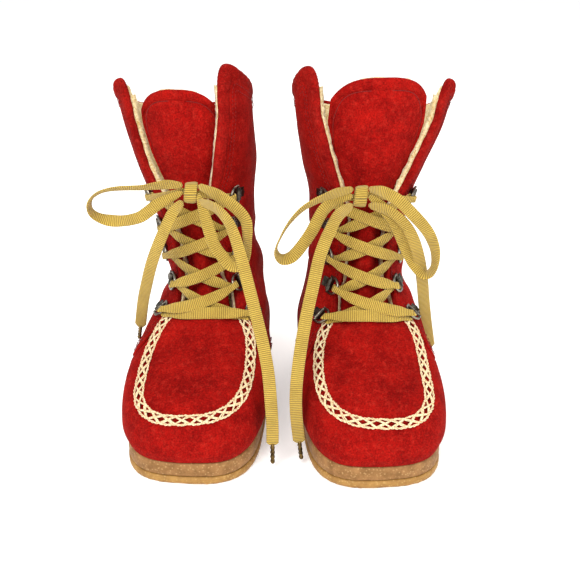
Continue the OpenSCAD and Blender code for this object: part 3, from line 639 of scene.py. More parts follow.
# Routes of the free laces from the knot: x, y, z in the pair's own directions, and the roll
freeRoutes = {
    ("left", "innerLoop"): [[-6, -2, 6, 0], [-19, -11, 6, -20], [-31, -19, 4, -40], [-44, -23, -2, -52],
        [-54, -25, -12, -65], [-61, -25, -24, -78], [-65, -23, -36, -78], [-61, -20, -44, -55],
        [-53, -18, -43, -25], [-45, -17, -34, 0], [-37, -15, -22, 0], [-29, -11, -8, 0], [-19, -5, -2, 0],
        [-6, -2, 1, 0]],
    ("left", "outerLoop"): [[6, -2, 6, 0], [15, -11, 7, 0], [26, -19, 3, 0], [38, -21, -8, 0],
        [50, -21, -22, 15], [57, -17, -39, 45], [57, -13, -55, 70], [51, -10, -61, 60], [43, -8, -53, 20],
        [35, -8, -38, 0], [26, -10, -18, 0], [16, -8, -6, 0], [6, -2, 1, 0]],
    ("right", "innerLoop"): [[6, -2, 6, 0], [20, -11, 2, 0], [34, -19, -5, 0], [43, -23, -15, 15],
        [44, -25, -28, 40], [44, -25, -41, 60], [40, -23, -51, 60], [31, -21, -52, 30],
        [24, -19, -45, 10], [18, -17, -36, 0], [13, -13, -21, 0], [6, -2, 0, 0]],
    ("right", "outerLoop"): [[-6, -2, 6, 0], [-18, -9, 9, -25], [-35, -17, 9, -50], [-51, -19, 9, -55],
        [-66, -15, 5, -65], [-76, -9, -4, -78], [-77, -3, -15, -75], [-69, -1, -21, -50],
        [-55, -3, -22, 0], [-39, -5, -18, 0], [-25, -4, -8, 0], [-6, -2, 1, 0]],
    ("left", "innerTail"): [[-6, -4, -6, 0], [-17, -17, -9, 40], [-25, -27, -20, 25], [-32, -37, -35, 5],
        [-37, -47, -54, 0], [-42, -57, -74, 0], [-46, -65, -95, 0], [-49, -72, -117, 0],
        [-50, -75, -137, 0], [-49, -75, -155, 0], [-47, -73, -174, 0]],
    ("left", "outerTail"): [[6, -4, -6, 0], [20, -14, -7, 20], [32, -17, -16, 20], [41, -15, -32, 10],
        [49, -5, -59, 0], [55, 9, -91, 0], [61, 23, -120, 0], [67, 35, -147, 0]],
    ("right", "outerTail"): [[-6, -4, -6, 0], [-13, -14, -12, 30], [-21, -18, -28, 20],
        [-30, -15, -50, 10], [-37, -7, -73, 0], [-43, 5, -95, 0], [-49, 20, -124, 0]],
    ("right", "innerTail"): [[6, -4, -6, 0], [20, -20, -6, 20], [31, -30, -15, 20], [38, -38, -32, 10],
        [44, -46, -53, 0], [50, -56, -74, 0], [56, -65, -97, 0], [60, -72, -118, 0], [62, -77, -141, 0],
        [63, -80, -159, 0], [63, -81, -175, 0]]}
tip = {"long": 17.0, "radius": 1.7, "twists": 4.5, "rows": 60, "around": 24, "overlap": 1.5, "blunt": 0.93}


def freeStops(boot, route):
    # each stop's width lies square to the lace's way and to the viewer's, turned by its roll
    route = np.array(route, float)
    t = np.linspace(0, len(route) - 1, 2 * (len(route) - 1) + 1)
    values = along(route, t)
    points, roll = values[:, :3], np.radians(values[:, 3:])
    way = unit(np.gradient(points, axis=0))
    flat = unit(np.cross(way, [0, -1, 0]))
    wide = flat * np.cos(roll) + np.cross(way, flat) * np.sin(roll)
    share = np.clip((np.linalg.norm(points, axis=-1) - 7) / laceSize["gatherWay"], 0, 1)
    return points + knotPlace(boot), wide, mix(laceSize["gather"], laceSize["wide"], share)


def aglet(name, boot, end, way, body):
    # a twisted brass tip: a tube whose radius ripples round it, the ripple turning along its length
    aside = unit(np.cross(way, [0.2, 1, 0.1]))
    up = np.cross(way, aside)
    n, m = tip["rows"], tip["around"]
    s, turn = np.linspace(0, 1, n)[:, None], np.linspace(0, 2 * np.pi, m + 1)[None, :-1]
    # the far end is rounded off by a quarter of an ellipse, and the near end by a short straight taper
    closing = np.clip(1 - ((s - tip["blunt"]) / (1 - tip["blunt"])) ** 2, 0.02, 1)
    size = tip["radius"] * (0.92 + 0.13 * np.cos(2 * turn - 2 * np.pi * tip["twists"] * s))
    size = size * np.where(s > tip["blunt"], np.sqrt(closing), 1) * np.where(s < 0.04, 0.6 + 10 * s, 1)
    spokes = aside * np.cos(turn)[..., None] + up * np.sin(turn)[..., None]
    points = end + way * (s * tip["long"])[..., None] + spokes * size[..., None]
    return addMesh(name, points * mm, tubeFaces(n, m), tipBrass, body, (boot + "_aglets",))


def knotBand(boot, body):
    # the wrap of the bow: a short band round the crossing laces. Its outer and inner face are ellipses
    # round the knot, and the outer one is drawn in by a fourth power toward the band's edges
    around, columns = 40, 15
    turn, across = np.linspace(0, 2 * np.pi, around + 1)[:-1, None], np.linspace(-1, 1, columns)[None, :]
    faces = []
    for size, drawn in ((1.0, 0.1), (0.72, 0)):
        pinch = size * (1 - drawn * across ** 4)
        x = knotSize["wide"] / 2 * across + 0.8 * np.sin(turn)
        y = -knotSize["deep"] / 2 * np.cos(turn) * pinch
        z = knotSize["high"] / 2 * np.sin(turn) * pinch * (1 + 0.05 * across)
        faces.append(np.stack([x, y, z], -1))
    outer, inner = faces
    points = np.concatenate([outer, inner[:, ::-1]], 1) + knotPlace(boot)
    over = np.concatenate([across, across[:, ::-1]], 1) * knotSize["wide"] / 2
    uv = np.stack(np.broadcast_arrays(turn * knotSize["round"], over), -1) * mm
    quads = gridFaces(around, 2 * columns, closeRows=True, closeColumns=True)
    addMesh(boot + "KnotBand", points * mm, quads, lace, body, (boot + "_lacing",), uv)


for boot in boots:
    body = boot + "_boot"
    stops = laceRun(boot)
    places = toPair(boot, np.array([s[0] for s in stops])) / mm
    wides = toPair(boot, np.array([s[0] + s[1] for s in stops])) / mm - places
    ribbon(boot + "Lacing", places, wides, [s[2] for s in stops], body, boot + "_lacing")
    knotBand(boot, body)
    for piece in ("innerLoop", "outerLoop", "innerTail", "outerTail"):
        points, wide, widths = freeStops(boot, freeRoutes[boot, piece])
        name = boot + piece[0].upper() + piece[1:]
        isTail = piece.endswith("Tail")
        node = boot + ("_lace_ends" if isTail else "_bow_loops")
        obj, path, length = ribbon(name, points, wide, widths, body, node, perStop=5)
        going = []
        if isTail:
            way = unit(np.array(freeRoutes[boot, piece][-1][:3], float) - freeRoutes[boot, piece][-2][:3])
            going = [aglet(name + "Tip", boot, path[-1] / mm - way * tip["overlap"], way, body)]
print("laces made")


# Soles

def outline(margin, count=160):
    # the upper's lowest level, moved outward by the margin
    angle, floorLevel = 360 * (np.arange(count) + 0.5) / count, np.zeros(count)
    before, here, after = (skin("left", angle + step, floorLevel)[:, :2] for step in (-1, 0, 1))
    way = unit(after - before)
    return here + np.stack([way[:, 1], -way[:, 0]], -1) * margin


def soleLayer(name, boot, margins, heights, material, node):
    # rings of the outline, each with its own margin and height, closed by a fan above and below
    rings = []
    for margin, height in zip(margins, heights):
        line = outline(margin)
        z = height(line[:, 1]) if callable(height) else np.full(len(line), float(height))
        rough = 0.18 * softNoise(np.column_stack([line, z]), 2.6, 7)
        rings.append(np.column_stack([line * (1 + rough[:, None] / 60), z]))
    grid = np.stack(rings)
    n, m = grid.shape[:2]
    centre = grid[[0, -1]].mean(1)
    faces = gridFaces(n, m, closeColumns=True, flip=boot == "left").tolist()
    faces += fanFaces(0, m, n * m, flip=boot != "left").tolist()
    faces += fanFaces((n - 1) * m, m, n * m + 1, flip=boot == "left").tolist()
    points = np.concatenate([grid.reshape(-1, 3), centre])
    return addMesh(name, toPair(boot, points), faces, material, boot + "_boot", (node,))


def between(share):
    return lambda y: mix(sole["tread"], soleHeight(y), share)


for boot in boots:
    m, h = sole["margin"], sole["tread"]
    soleLayer(boot + "Tread", boot, [m - 6, m - 1.4, m - 0.4, m, m + 0.1, m, m - 0.3, m - 1.0, m - 1.6],
              [0, 0, 0.4, 1.4, 3, 4.4, 5.2, h - 0.25, h - 0.2], treadCrepe, boot + "_outsole")
    shares = [0, 0.02, 0.05, 0.1, 0.2, 0.35, 0.5, 0.65, 0.8, 0.9, 0.96, 0.99, 1, 1]
    bulge = [-0.9, -0.6, -0.1, 0.4, 0.6, 0.75, 0.8, 0.75, 0.65, 0.4, 0.1, -0.3, -1.0, -4]
    soleLayer(boot + "Foxing", boot, bulge, [between(s) for s in shares], crepe, boot + "_midsole")
print("soles made")


# Uppers

apronSeam = {"share": [0, 0.15, 0.3, 0.45, 0.6, 0.75, 0.9, 1], "angle": [0, 16, 32, 47, 56, 58, 51, 43],
             "level": [2.6, 2.6, 2.72, 3.05, 3.65, 4.5, 5.3, 5.75], "skew": 0.3, "narrow": 0.17}
sideSeam = {"foot": 115.0, "head": (51.5, 5.33), "bulge": 13.0, "share": 0.88}
band = {"wide": 0.075, "low": 0.03, "high": 0.05, "cornerP": 0.14, "cornerQ": 0.1, "under": 0.55,
        "lap": 0.012}
lining = {"depth": 4.6, "thick": 4.4, "foot": 0.35}


def seamAt(c):
    # the apron's seam from its inner rear corner round the toe to its outer one
    c = np.asarray(c, float)
    far = np.abs(c)

    def reading(key, step):
        # the mean of three nearby readings, which rounds the corners of the table
        return sum(np.interp(np.clip(far + s, 0, 1), apronSeam["share"], apronSeam[key])
                   for s in (-step, 0, step)) / 3

    # the outer side is narrower except near its rear end
    inward = np.where(c > 0, 1 - apronSeam["narrow"] * np.clip((0.9 - c) / 0.3, 0, 1), 1)
    angle = np.sign(c) * reading("angle", 0.05) * inward
    level = reading("level", 0.04) - apronSeam["skew"] * np.sin(np.radians(angle)) * (1 - far)
    return angle * np.clip(far / 0.05, 0, 1), level


def sideSeamLevel(angle):
    # the quarter's lower edge: the level by angle along the curved seam, then along the sole
    v = np.linspace(1, 0, 60)
    a = mix(sideSeam["foot"], sideSeam["head"][0], v) + sideSeam["bulge"] * np.sin(np.pi * v)
    return np.interp(angle, np.concatenate([[20, 43.5], a, [180]]),
                     np.concatenate([[6.05, 5.88], sideSeam["head"][1] * v, [0]]))


def facingAngle(boot, side, level):
    # the facing's edge: half its gap at the level, never below the throat
    half = np.interp(level, facingLevels, facing[boot, side])
    return angleOf(boot, half, np.maximum(level, throat))


def quarterAngle(boot, side, p, level):
    # p runs from the facing's edge to the middle of the back
    return mix(facingAngle(boot, side, level), backAngle, p)


def quarterLevel(boot, side, p, q):
    # q runs from the quarter's lower edge to the rim
    foot = sideSeamLevel(quarterAngle(boot, side, p, np.zeros_like(p)))
    return mix(foot, topLevel, q)


def bandShare(level):
    # the binding is narrow on the lower facing and widens to its full width above level 9
    return mix(band["low"], band["wide"], ramp(level, 9, 10.5))


def bandHeight(p):
    # the binding is narrower along the rim toward the back
    return band["high"] * (1 - 0.65 * p)


def quarterTop(p):
    # the top edge below the binding: a quarter circle at the front corner, then straight
    s = np.clip((band["cornerP"] - p) / (band["cornerP"] - band["wide"]), 0, 1)
    corner = 1 - band["cornerQ"] + (band["cornerQ"] - bandHeight(p)) * np.sqrt(1 - s * s)
    return np.where(p < band["cornerP"], corner, 1 - bandHeight(np.minimum(p, 1)))


def seamLine(boot, count=700):
    # points along the apron's seam with their directions: along it, outward, and toward the apron
    c = np.linspace(-1, 1, count)
    angle, level = seamAt(c)
    place = skin(boot, angle, level)
    out = surfaceFrame(boot, angle, level)[2]
    way = unit(np.gradient(place, axis=0))
    length = np.concatenate([[0], np.linalg.norm(np.diff(place, axis=0), axis=-1).cumsum()])
    return c, place, way, out, np.cross(out, way), length


stitchPitch = 10.4


def pucker(boot, c, distance):
    # the suede is drawn in at each stitch: ripples along the seam that fade with the distance from it
    line = seamLine(boot)
    s = np.interp(c, line[0], line[5])
    return (0.5 * np.cos(2 * np.pi * s / stitchPitch) * np.exp(-distance / 5)
            - 0.9 * np.exp(-(distance / 2.2) ** 2))


def makeVamp(boot):
    # the wrap of the toe: shares c round it and v from the sole up to the apron's seam
    c = np.linspace(-1, 1, 260)[:, None]
    v = spaced(46, 50)[None, :]
    angle, level = seamAt(c * sideSeam["share"])
    foot = sideSeam["foot"] * np.abs(c) * 1.01
    angle = mix(np.sign(c) * foot, angle, v) + np.sign(c) * c ** 6 * sideSeam["bulge"] * np.sin(np.pi * v)
    level = mix(-0.02, level, v)

    def relief(points, ways):
        # a soft fold just above the sole, level creases, and the edge drawn in where the sole grips it
        fold = 0.5 * np.exp(-((ways[2] - 2) / 2.5) ** 2)
        creases = 0.35 * softNoise(points * [1, 1, 2.2], 24, 11)
        return pucker(boot, c * sideSeam["share"], ways[3]) + fold + creases - 0.8 * np.exp(-ways[2] / 0.8)
    return suedeSheet("Vamp", boot, 1, angle, level, "_vamp", relief=relief, edges=(1, 1, 0, 1))


def makeApron(boot):
    # the top of the toe: rings of its own outline shrinking to a point in its middle
    sewn, rear, rings = 240, 60, 44
    middleLevel = 4.2
    c = np.linspace(-1, 1, sewn)
    angle, level = seamAt(c)
    rearAngle = np.linspace(angle[-1], angle[0], rear + 2)[1:-1]
    rearLevel = np.linspace(level[-1], level[0], rear + 2)[1:-1]
    rearLevel = rearLevel + 0.16 * np.sin(np.pi * np.linspace(0, 1, rear))
    r = np.sort(np.concatenate([np.linspace(0.02, 1, rings), 1 - np.array([0.004, 0.012, 0.024])]))[:, None]
    angle = r * np.concatenate([angle, rearAngle])
    level = mix(middleLevel, np.concatenate([level, rearLevel]), r)
    points, out = skin(boot, angle, level), surfaceFrame(boot, angle, level)[2]
    distance = np.linalg.norm(points - points[-1:], axis=-1)
    # puckered along the sewn part of the edge, with a groove beside the free rear part
    share = np.concatenate([c, np.zeros(rear)])
    isSewn = np.concatenate([np.ones(sewn), np.zeros(rear)])
    height = pucker(boot, share[None, :], distance) * isSewn + 0.9 * ramp(distance, 2, 14)
    height = height + 0.5 * softNoise(points, 26, 21) + 0.15 * softNoise(points, 9, 22)
    height = height - 0.8 * np.exp(-((distance - 3.2) / 0.8) ** 2) * (1 - isSewn)
    fall = rounded(distance, suedeThick / 2)
    outer = points + out * (height - fall)[..., None]
    inner = points - out * (suedeThick - fall)[..., None]
    n, m = angle.shape
    tops = np.stack([outer[0].mean(0), inner[0].mean(0)])
    grid = gridFaces(n, m, closeColumns=True)
    k, size, last = np.arange(m), n * m, (n - 1) * m
    after = (k + 1) % m
    edge = np.stack([last + k, last + k + size, last + after + size, last + after], -1)
    fans = fanFaces(0, m, 2 * size), fanFaces(size, m, 2 * size + 1, flip=True)
    faces = []
    for piece in (grid[:, ::-1], grid + size, *fans, edge[:, ::-1]):
        faces += (piece if boot == "right" else piece[:, ::-1]).tolist()
    points = np.concatenate([outer.reshape(-1, 3), inner.reshape(-1, 3), tops])
    return addMesh(boot + "Apron", toPair(boot, points), faces, suede, boot + "_boot", (boot + "_apron",))


ankle = {"z": 128, "high": 34, "fold": 2.1, "pitch": 6.8, "slant": 0.5, "hang": 1.3, "groove": 0.45}


def makeQuarter(boot, sideName):
    # one side of the shaft: shares p from the facing to the back and q from the seam to the rim
    side = sides[sideName]
    u, v = spaced(150, 130)[:, None], spaced(150, 220)[None, :]
    p = mix(band["wide"] * band["under"], 1.0, u)
    # the binding's width depends on the level, and the level on the binding's width, so they take turns
    for _ in range(2):
        level = quarterLevel(boot, side, p, v * (quarterTop(p) + band["lap"]))
        p = mix(bandShare(level) * band["under"], 1.0, u)
    level = quarterLevel(boot, side, p, v * (quarterTop(p) + band["lap"]))
    angle = quarterAngle(boot, side, p, level)

    def relief(points, ways):
        # slanted folds where the ankle bends, soft hanging creases above it, a swelling over the lower
        # seam, and a groove along the binding's seam
        y, z = points[..., 1], points[..., 2]
        bend = np.exp(-((z - ankle["z"]) / ankle["high"]) ** 2) * ramp(y, -25, 15) * (1 - ramp(y, 60, 100))
        phase = (z + ankle["slant"] * y) / ankle["pitch"] + 1.5 * softNoise(points, 40, 31 + side)
        folds = ankle["fold"] * bend * np.sin(phase)
        hang = ankle["hang"] * softNoise(points * [1, 1, 0.6], 30, 35 + side) * ramp(z, 70, 130)
        hang = hang + 0.5 * softNoise(points * [1, 1, 1.6], 13, 38 + side) * bend
        lower = ramp(ways[2], 0, 2) * (1 - ramp(y, 60, 110)) * np.exp(-ways[2] / 9)
        bindingSeam = mix(2.0, 5.6, ramp(level, 9, 10.5))
        groove = -ankle["groove"] * np.exp(-((ways[0] - bindingSeam) / 0.7) ** 2)
        return folds + hang + lower + groove
    return suedeSheet("Quarter" + sideName.capitalize(), boot, side, angle, level, "_quarter_" + sideName,
                      relief=relief)


def bandSpot(boot, side, s, d):
    # a spot in the binding: s runs up the facing, round the corner and back along the rim, d across it
    f = np.radians(90) * np.clip(s - 1, 0, 1)
    low = 1 - band["cornerQ"]
    lowLevel = quarterLevel(boot, side, np.zeros_like(s), low * np.minimum(s, 1))
    rimP = mix(band["cornerP"], 1.07, np.clip(s - 2, 0, 1))
    cornerP = band["cornerP"] - (band["cornerP"] - d * band["wide"]) * np.cos(f)
    p = np.where(s < 1, d * bandShare(lowLevel), np.where(s < 2, cornerP, rimP))
    h = d * bandHeight(p)
    q = np.where(s < 1, low * s, np.where(s < 2, low + (band["cornerQ"] - h) * np.sin(f), 1 - h))
    level = quarterLevel(boot, side, p, q)
    return side * quarterAngle(boot, side, p, level), level


def makeBinding(boot):
    # the padded roll: at each stop an oval is spread between the band's two edges and through its depth
    steps, around = 230, 28
    s = 3 * (1 - np.abs(np.linspace(-1, 1, 2 * steps + 1)))
    turn = np.linspace(0, 2 * np.pi, around, endpoint=False)
    across = 0.56 - 0.54 * np.sign(np.cos(turn)) * np.abs(np.cos(turn)) ** 0.8
    inward = 0.5 - 0.5 * np.sign(np.sin(turn)) * np.abs(np.sin(turn)) ** 0.8
    grids = []
    for sideName, part in (("lateral", s[:steps]), ("medial", s[steps:])):
        way, over = np.meshgrid(part, np.clip(across, 0.02, 1.08), indexing="ij")
        angle, level = bandSpot(boot, sides[sideName], way, over)
        # the roll gets shallower along the rim, and is gathered a little at every stitch
        rimShare = np.clip(way - 2, 0, 1)
        bottom = 5.2 - 0.8 * rimShare
        full = mix(0.8, 1.5, ramp(level, 9, 10.2)) * (1 - 0.35 * rimShare)
        depth = mix(-full, bottom, inward[None, :])
        pinch = 0.22 * np.sin(way * 95) * ramp(level, 9, 10)
        grids.append(layer(boot, angle, level, depth - pinch))
    grid = np.concatenate(grids)
    grid = grid + 0.25 * softNoise(grid, 13, 41)[..., None] * np.array([1, 1, 0.4])
    n = len(grid)
    faces = gridFaces(n, around, closeColumns=True, flip=boot == "right").tolist()
    ends = [list(range(around)), list(range((n - 1) * around, n * around))[::-1]]
    faces += ends if boot == "left" else [e[::-1] for e in ends]
    obj = addMesh(boot + "CollarBinding", toPair(boot, grid), faces, bindingSuede, boot + "_boot",
                  (boot + "_collar_binding",))
    return obj


def makeLining(boot):
    # the fleece: shares u round the boot and v up it, curled by noise on its inner face and its edges
    rows, columns = 230, 130
    grids = []
    for sideName, flipU in (("lateral", False), ("medial", True)):
        side = sides[sideName]
        # the wall starts beside the facing, and below the tongue it closes round the front
        u = np.linspace(0, 1, rows // 2)[:, None]
        v = np.linspace(0, 1, columns)[None, :]
        p = mix(band["wide"] * 0.3, 1.06, u) * np.ones_like(v)
        level = mix(lining["foot"], quarterLevel(boot, side, np.minimum(p, 1), quarterTop(p) + 0.008), v)
        closed = 1 - np.clip((level - 4.4) / 0.6, 0, 1)
        first = quarterAngle(boot, side, bandShare(level) * 0.25, level)
        angle = side * mix(mix(first, 1, closed), 180, u)
        if flipU:
            angle, level = angle[::-1] + 360, level[::-1]
        grids.append((angle, level))
    angle, level = (np.concatenate([grids[0][k], grids[1][k][1:]]) for k in (0, 1))
    outer = layer(boot, angle, level, np.full(angle.shape, lining["depth"]))
    inner = layer(boot, angle, level, np.full(angle.shape, lining["depth"] + lining["thick"]))
    out = unit(inner - outer)
    curl = np.stack([softNoise(inner, 4.2, k) for k in (51, 52, 53)], -1) * 0.9
    fine = np.stack([softNoise(inner, 1.9, k) for k in (54, 55, 56)], -1) * 0.45
    inner = inner + curl + fine + out * (0.9 * np.abs(softNoise(inner, 5.5, 57)) + 0.2)[..., None]
    outer = outer + curl * 0.3
    faces = sheetFaces(*angle.shape, flip=boot == "right")
    return addMesh(boot + "FleeceLining", toPair(boot, np.stack([outer, inner])), faces, fleece,
                   boot + "_boot", (boot + "_fleece_lining",))


tongue = {"root": 5.25, "topZ": {"left": 280, "right": 270}, "shoulder": 22,
          "share": {"left": 1.0, "right": 0.88}, "depth": 10.4, "rise": 5.0, "thick": 1.6, "fleece": 3.0,
          "hem": (0.07, 0.021), "wide": 44, "high": 190, "tuck": 7.4, "crown": 1.6,
          "half": ([5.2, 5.8, 7, 8, 9, 9.5, 10.3, 10.9, 12], [25, 26, 27, 28, 28, 30, 43, 49, 50])}


def tongueSpots(boot, c, v):
    # shares c across and v up the tongue: its half width by level, its top at a height that falls
    # toward the shoulders by a mix of the square and the fifth power of c
    share = tongue["share"][boot]
    edge = angleOf(boot, np.abs(c) * 49 * share, np.full(c.shape, 11.0)) * np.sign(c)
    tops = np.zeros(c.shape)
    t = np.linspace(9, 12, 60)
    wanted = tongue["topZ"][boot] - tongue["shoulder"] * mix(c * c, np.abs(c) ** 5, 0.45)
    for i in range(c.shape[0]):
        heights = layer(boot, np.full(60, edge[i, 0]), t, np.full(60, tongue["depth"]))[:, 2]
        tops[i] = np.interp(wanted[i, 0], heights, t)
    level = mix(tongue["root"], tops, v)
    half = np.interp(level, *tongue["half"]) * share * (1 - 0.1 * v ** 8)
    return np.sign(c) * angleOf(boot, np.abs(c) * half, level), level


def tongueDip(level, c):
    # the middle stands forward of the edges between the facings, and not at the root or the top
    s = ramp(np.abs(c) * 2 - 0.3, 0, 1)
    return (tongue["depth"] - tongue["rise"]) * (1 - s) * np.clip((10.5 - level) / 2, 0, 1) * np.clip(
        (level - 5.87) / 0.5, 0, 1)


def makeTongue(boot):
    # the padded suede front with its folded hem, the fleece behind it, and the hem's seam
    hemC, hemV = tongue["hem"]
    near = np.array([-0.02, -0.01, 0, 0.01, 0.02])
    c = np.sort(np.concatenate([2 * spaced(90, 90) - 1, 1 - hemC + near, hemC - 1 - near]))[:, None]
    v = np.sort(np.concatenate([spaced(150, 190), 1 - hemV + near[:4] / 3 + 0.0007]))[None, :]
    c, v = np.broadcast_arrays(c, v)
    angle, level = tongueSpots(boot, c, v)
    # under the apron the root comes forward to lie just below it
    tuck = tongue["tuck"] * (1 - ramp(level, 5.35, 5.95))
    depth = tongue["depth"] - tongueDip(level, c) - tuck
    points, out = skin(boot, angle, level), surfaceFrame(boot, angle, level)[2]
    ways = edgeWay(points)
    # the folded hem: a fuller strip outside a groove, whose way is the nearer of the side's and the top's
    toHem = np.minimum((1 - hemC - np.abs(c)) * tongue["wide"], (1 - hemV - v) * tongue["high"])
    toHem = toHem + 30 * (1 - ramp(level, 9.0, 9.6))
    hem = 0.9 * (1 - ramp(toHem, -1.2, 0)) - 1.1 * np.exp(-(toHem / 0.8) ** 2)
    crown = tongue["crown"] * (1 - c ** 2) * ramp(level, 9.2, 10.4)
    crown = crown + 0.7 * softNoise(points, 34, 61) + 0.2 * softNoise(points, 11, 62)
    fall = rounded(np.minimum.reduce([ways[0], ways[1], ways[3]]), 1.3)
    outer = points - out * (depth - crown - hem + fall)[..., None]
    inner = points - out * (depth + tongue["thick"] - fall * 0.2)[..., None]
    faces = sheetFaces(*c.shape, flip=boot == "right")
    obj = addMesh(boot + "TongueSuede", toPair(boot, np.stack([outer, inner])), faces, suede, None,
                  (boot + "_tongue",))
    pile = []
    for extra, seed in ((0.25, 71), (tongue["fleece"], 74)):
        full = extra * (1 - 0.6 * np.exp(-np.minimum.reduce(ways) / 1.2))
        base = points - out * (depth + tongue["thick"] + full)[..., None]
        curl = np.stack([softNoise(base, 3.6, seed + k) for k in range(3)], -1)
        pile.append(base + curl * (0.25 if extra < 1 else 0.85))
    back = addMesh(boot + "TongueFleece", toPair(boot, np.stack(pile)), faces, fleece, None,
                   (boot + "_tongue_lining",))
    # the hem's seam runs up one side, over the top and down the other: a squarish half oval of shares,
    # read off the suede's own grid between its four nearest points
    turn = np.linspace(0.02, np.pi - 0.02, 400)
    seamC = (1 - hemC) * np.sign(np.cos(turn)) * np.abs(np.cos(turn)) ** 0.22
    seamV = mix(0.62, 1 - hemV, np.sin(turn) ** 0.22)
    cols = np.interp(seamV, v[0], np.arange(v.shape[1]))
    rows = np.interp(seamC, c[:, 0], np.arange(c.shape[0]))
    i, j = np.clip(rows.astype(int), 0, c.shape[0] - 2), np.clip(cols.astype(int), 0, v.shape[1] - 2)
    f, g = (rows - i)[:, None], (cols - j)[:, None]
    line = mix(mix(outer[i, j], outer[i + 1, j], f), mix(outer[i, j + 1], outer[i + 1, j + 1], f), g)
    line = line + out[i, j] * 0.15
    seam = tube(boot + "TongueSeam", [toPair(boot, line)], 0.36 * mm, seamThread, None, ())
    for piece in (obj, back, seam):
        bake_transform(piece)
    return obj


def makeBackStrip(boot):
    # the strip over the back seam, with its edges laid on the quarters
    a = mix(backAngle - 3.5, 363.5 - backAngle, spaced(22, 22))[:, None]
    level = mix(0.0, topLevel * 0.978, spaced(150, 230))[None, :]
    a, level = np.broadcast_arrays(a, level)
    return suedeSheet("BackStrip", boot, 1, a, level, "_back_strip", depth=-1.3, thick=2.0,
                      relief=lambda points, ways: 0.2 * softNoise(points, 20, 81))


crossStitch = {"half": 3.1, "threads": (-1.25, -0.2, 0.95), "radius": 0.46, "cordPitch": 6.1, "bow": 0.55}


def makeApronStitching(boot):
    # openwork of two opposite zigzags, each of three threads, between two twisted edge cords
    _, place, _, out, inward, length = seamLine(boot)
    total, half = length[-1], crossStitch["half"]
    count = int(total / stitchPitch)
    pitch = total / count

    def at(s, across, up):
        s = np.clip(s, 0, total)
        # a point beside the seam: s along it, then across toward the apron and up from the suede
        p, o, i = (np.stack([np.interp(s, length, v[:, k]) for k in range(3)], -1)
                   for v in (place, out, inward))
        return p + i * np.asarray(across)[..., None] + o * np.asarray(up)[..., None]

    strands = []
    share = np.linspace(0, 1, 11)
    hand = np.random.default_rng(5)
    for k in range(count):
        for over, direction in ((0.0, 1), (0.5, -1)):
            for gap in crossStitch["threads"]:
                start = k * pitch + gap + hand.uniform(-0.5, 0.5)
                end = (k + 1) * pitch + gap * 0.6 + hand.uniform(-0.7, 0.7)
                rise = 0.45 + over * np.exp(-((share - 0.5) / 0.2) ** 2) + 0.55 * np.sin(np.pi * share)
                reach = half + hand.uniform(-0.5, 0.6)
                strands.append(at(mix(start, end, share), direction * reach * (2 * share - 1), rise))
    s = np.linspace(0, total, count * 22)
    for edge in (-half, half):
        for phase in (0, math.pi):
            # the edge threads bow outward between the crossings and twist round each other
            bow = crossStitch["bow"] * np.abs(np.sin(np.pi * s / pitch)) * np.sign(edge)
            uneven = 0.8 * softNoise(np.column_stack([s, s * 0, s * 0]), 9, 6)
            twist = 2 * np.pi * s / crossStitch["cordPitch"] + phase + uneven
            strands.append(at(s, edge + bow + 0.5 * np.cos(twist), 0.6 + 0.4 * np.sin(twist)))
    paths = [toPair(boot, strand) for strand in strands]
    return tube(boot + "ApronStitching", paths, crossStitch["radius"] * mm, thread, boot + "_boot",
                (boot + "_apron_stitching",))


def seamStitches(boot):
    # rows of short stitches beside the binding, down the back strip and along the side seams
    rows = []
    for side in (-1, 1):
        for d in (1.3, 1.62):
            s = np.linspace(0.12, 2.96, 500)
            rows.append(bandSpot(boot, side, s, np.full(s.shape, d)) + (0.35,))
        for off in (2.2, 4.4):
            v = np.linspace(0.03, 0.97, 160)
            angle = mix(sideSeam["foot"], sideSeam["head"][0], v) + sideSeam["bulge"] * np.sin(np.pi * v)
            rows.append((side * (angle + off), sideSeam["head"][1] * v + off * 0.05, 1.0))
        t = np.linspace(0.25, 11.4, 300)
        edge = 180 + side * 9.6
        rows.append((np.full(t.shape, float(edge)), t, 1.45))
    strands = []
    for angle, level, height in rows:
        place = layer(boot, angle, level, np.full(np.shape(angle), -height))
        strands += stitches(place, surfaceFrame(boot, angle, level)[2])
    paths = [toPair(boot, strand) for strand in strands]
    return tube(boot + "SeamStitches", paths, shortStitch["radius"] * mm, seamThread, boot + "_boot", (),
                around=5)


footbed = {"margin": -9.0, "under": 2.4, "edge": 5.4, "top": 7.0, "middle": 7.8, "crown": 0.9, "curl": 0.6}


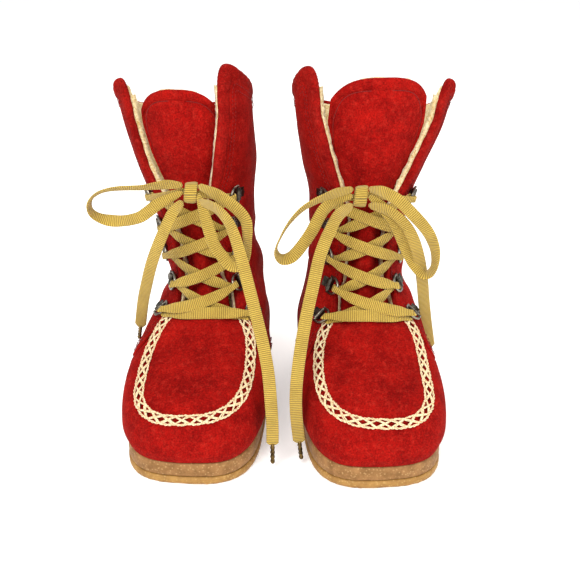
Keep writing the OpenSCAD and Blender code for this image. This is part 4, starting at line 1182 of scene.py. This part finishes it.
def makeFootbed(boot):
    # the fleece sock on the board: rings of the outline shrinking to the middle, crowned and curled
    line = outline(footbed["margin"], 120)
    r = np.concatenate([[1.0, 1.0], np.linspace(0.99, 0.02, 50)])[:, None, None]
    flat = line[None] * r
    crowned = footbed["top"] + footbed["crown"] * ramp(1 - r[2:, 0, 0], 0, 0.25)
    height = np.concatenate([[footbed["under"], footbed["edge"]], crowned])[:, None]
    grid = np.concatenate([flat, (soleHeight(flat[..., 1]) + height)[..., None]], -1)
    curls = np.stack([softNoise(grid[2:], 3.6, k) for k in (91, 92, 93)], -1)
    grid[2:] = grid[2:] + curls * footbed["curl"]
    n, m = grid.shape[:2]
    centre = np.array([[0, 0, soleHeight(0) + footbed[key]] for key in ("middle", "under")])
    faces = gridFaces(n, m, closeColumns=True, flip=boot == "left").tolist()
    faces += fanFaces((n - 1) * m, m, n * m, flip=boot == "left").tolist()
    faces += fanFaces(0, m, n * m + 1, flip=boot != "left").tolist()
    points = toPair(boot, np.concatenate([grid.reshape(-1, 3), centre]))
    obj = addMesh(boot + "Footbed", points, faces, fleece, boot + "_boot", (boot + "_footbed",))
    return obj


for boot in boots:
    makeVamp(boot)
    makeApron(boot)
    for sideName in sides:
        makeQuarter(boot, sideName)
    makeBackStrip(boot)
    makeBinding(boot)
    makeLining(boot)
    makeTongue(boot)
    makeApronStitching(boot)
    seamStitches(boot)
    makeFootbed(boot)
    print(boot, "upper made")

# The metal parts and the hidden boards keep their solids and get their finishes
for name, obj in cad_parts.items():
    if "_ring_" in name and not name.endswith("clips"):
        chosen = ringMetal
    elif name.endswith("ring_clips"):
        chosen = gunmetal
    elif name.endswith(("insole_board", "heel_counter")):
        chosen = board
    else:
        continue
    obj.data.materials.clear()
    obj.data.materials.append(chosen)
print("frame parts finished")

# A pale floor just below the soles, far wider than the view
half, drop = 30, -0.0005
floorData = bpy.data.meshes.new("floor")
floorData.from_pydata([(x * half, y * half, drop) for x, y in ((-1, -1), (1, -1), (1, 1), (-1, 1))], [],
                      [(0, 1, 2, 3)])
floor = bpy.data.objects.new("floor", floorData)
bpy.context.scene.collection.objects.link(floor)
paper, paperTree, paperShader = startMaterial("palePaper", Roughness=0.9, Emission_Strength=0.3)
paperShader.inputs["Emission Color"].default_value = (1, 1, 1, 1)
grit = blendColours(paperTree, noise(paperTree, 40, 2), "f4f4f2", "fafaf8")
paperTree.links.new(grit, paperShader.inputs["Base Color"])
floorData.materials.append(paper)
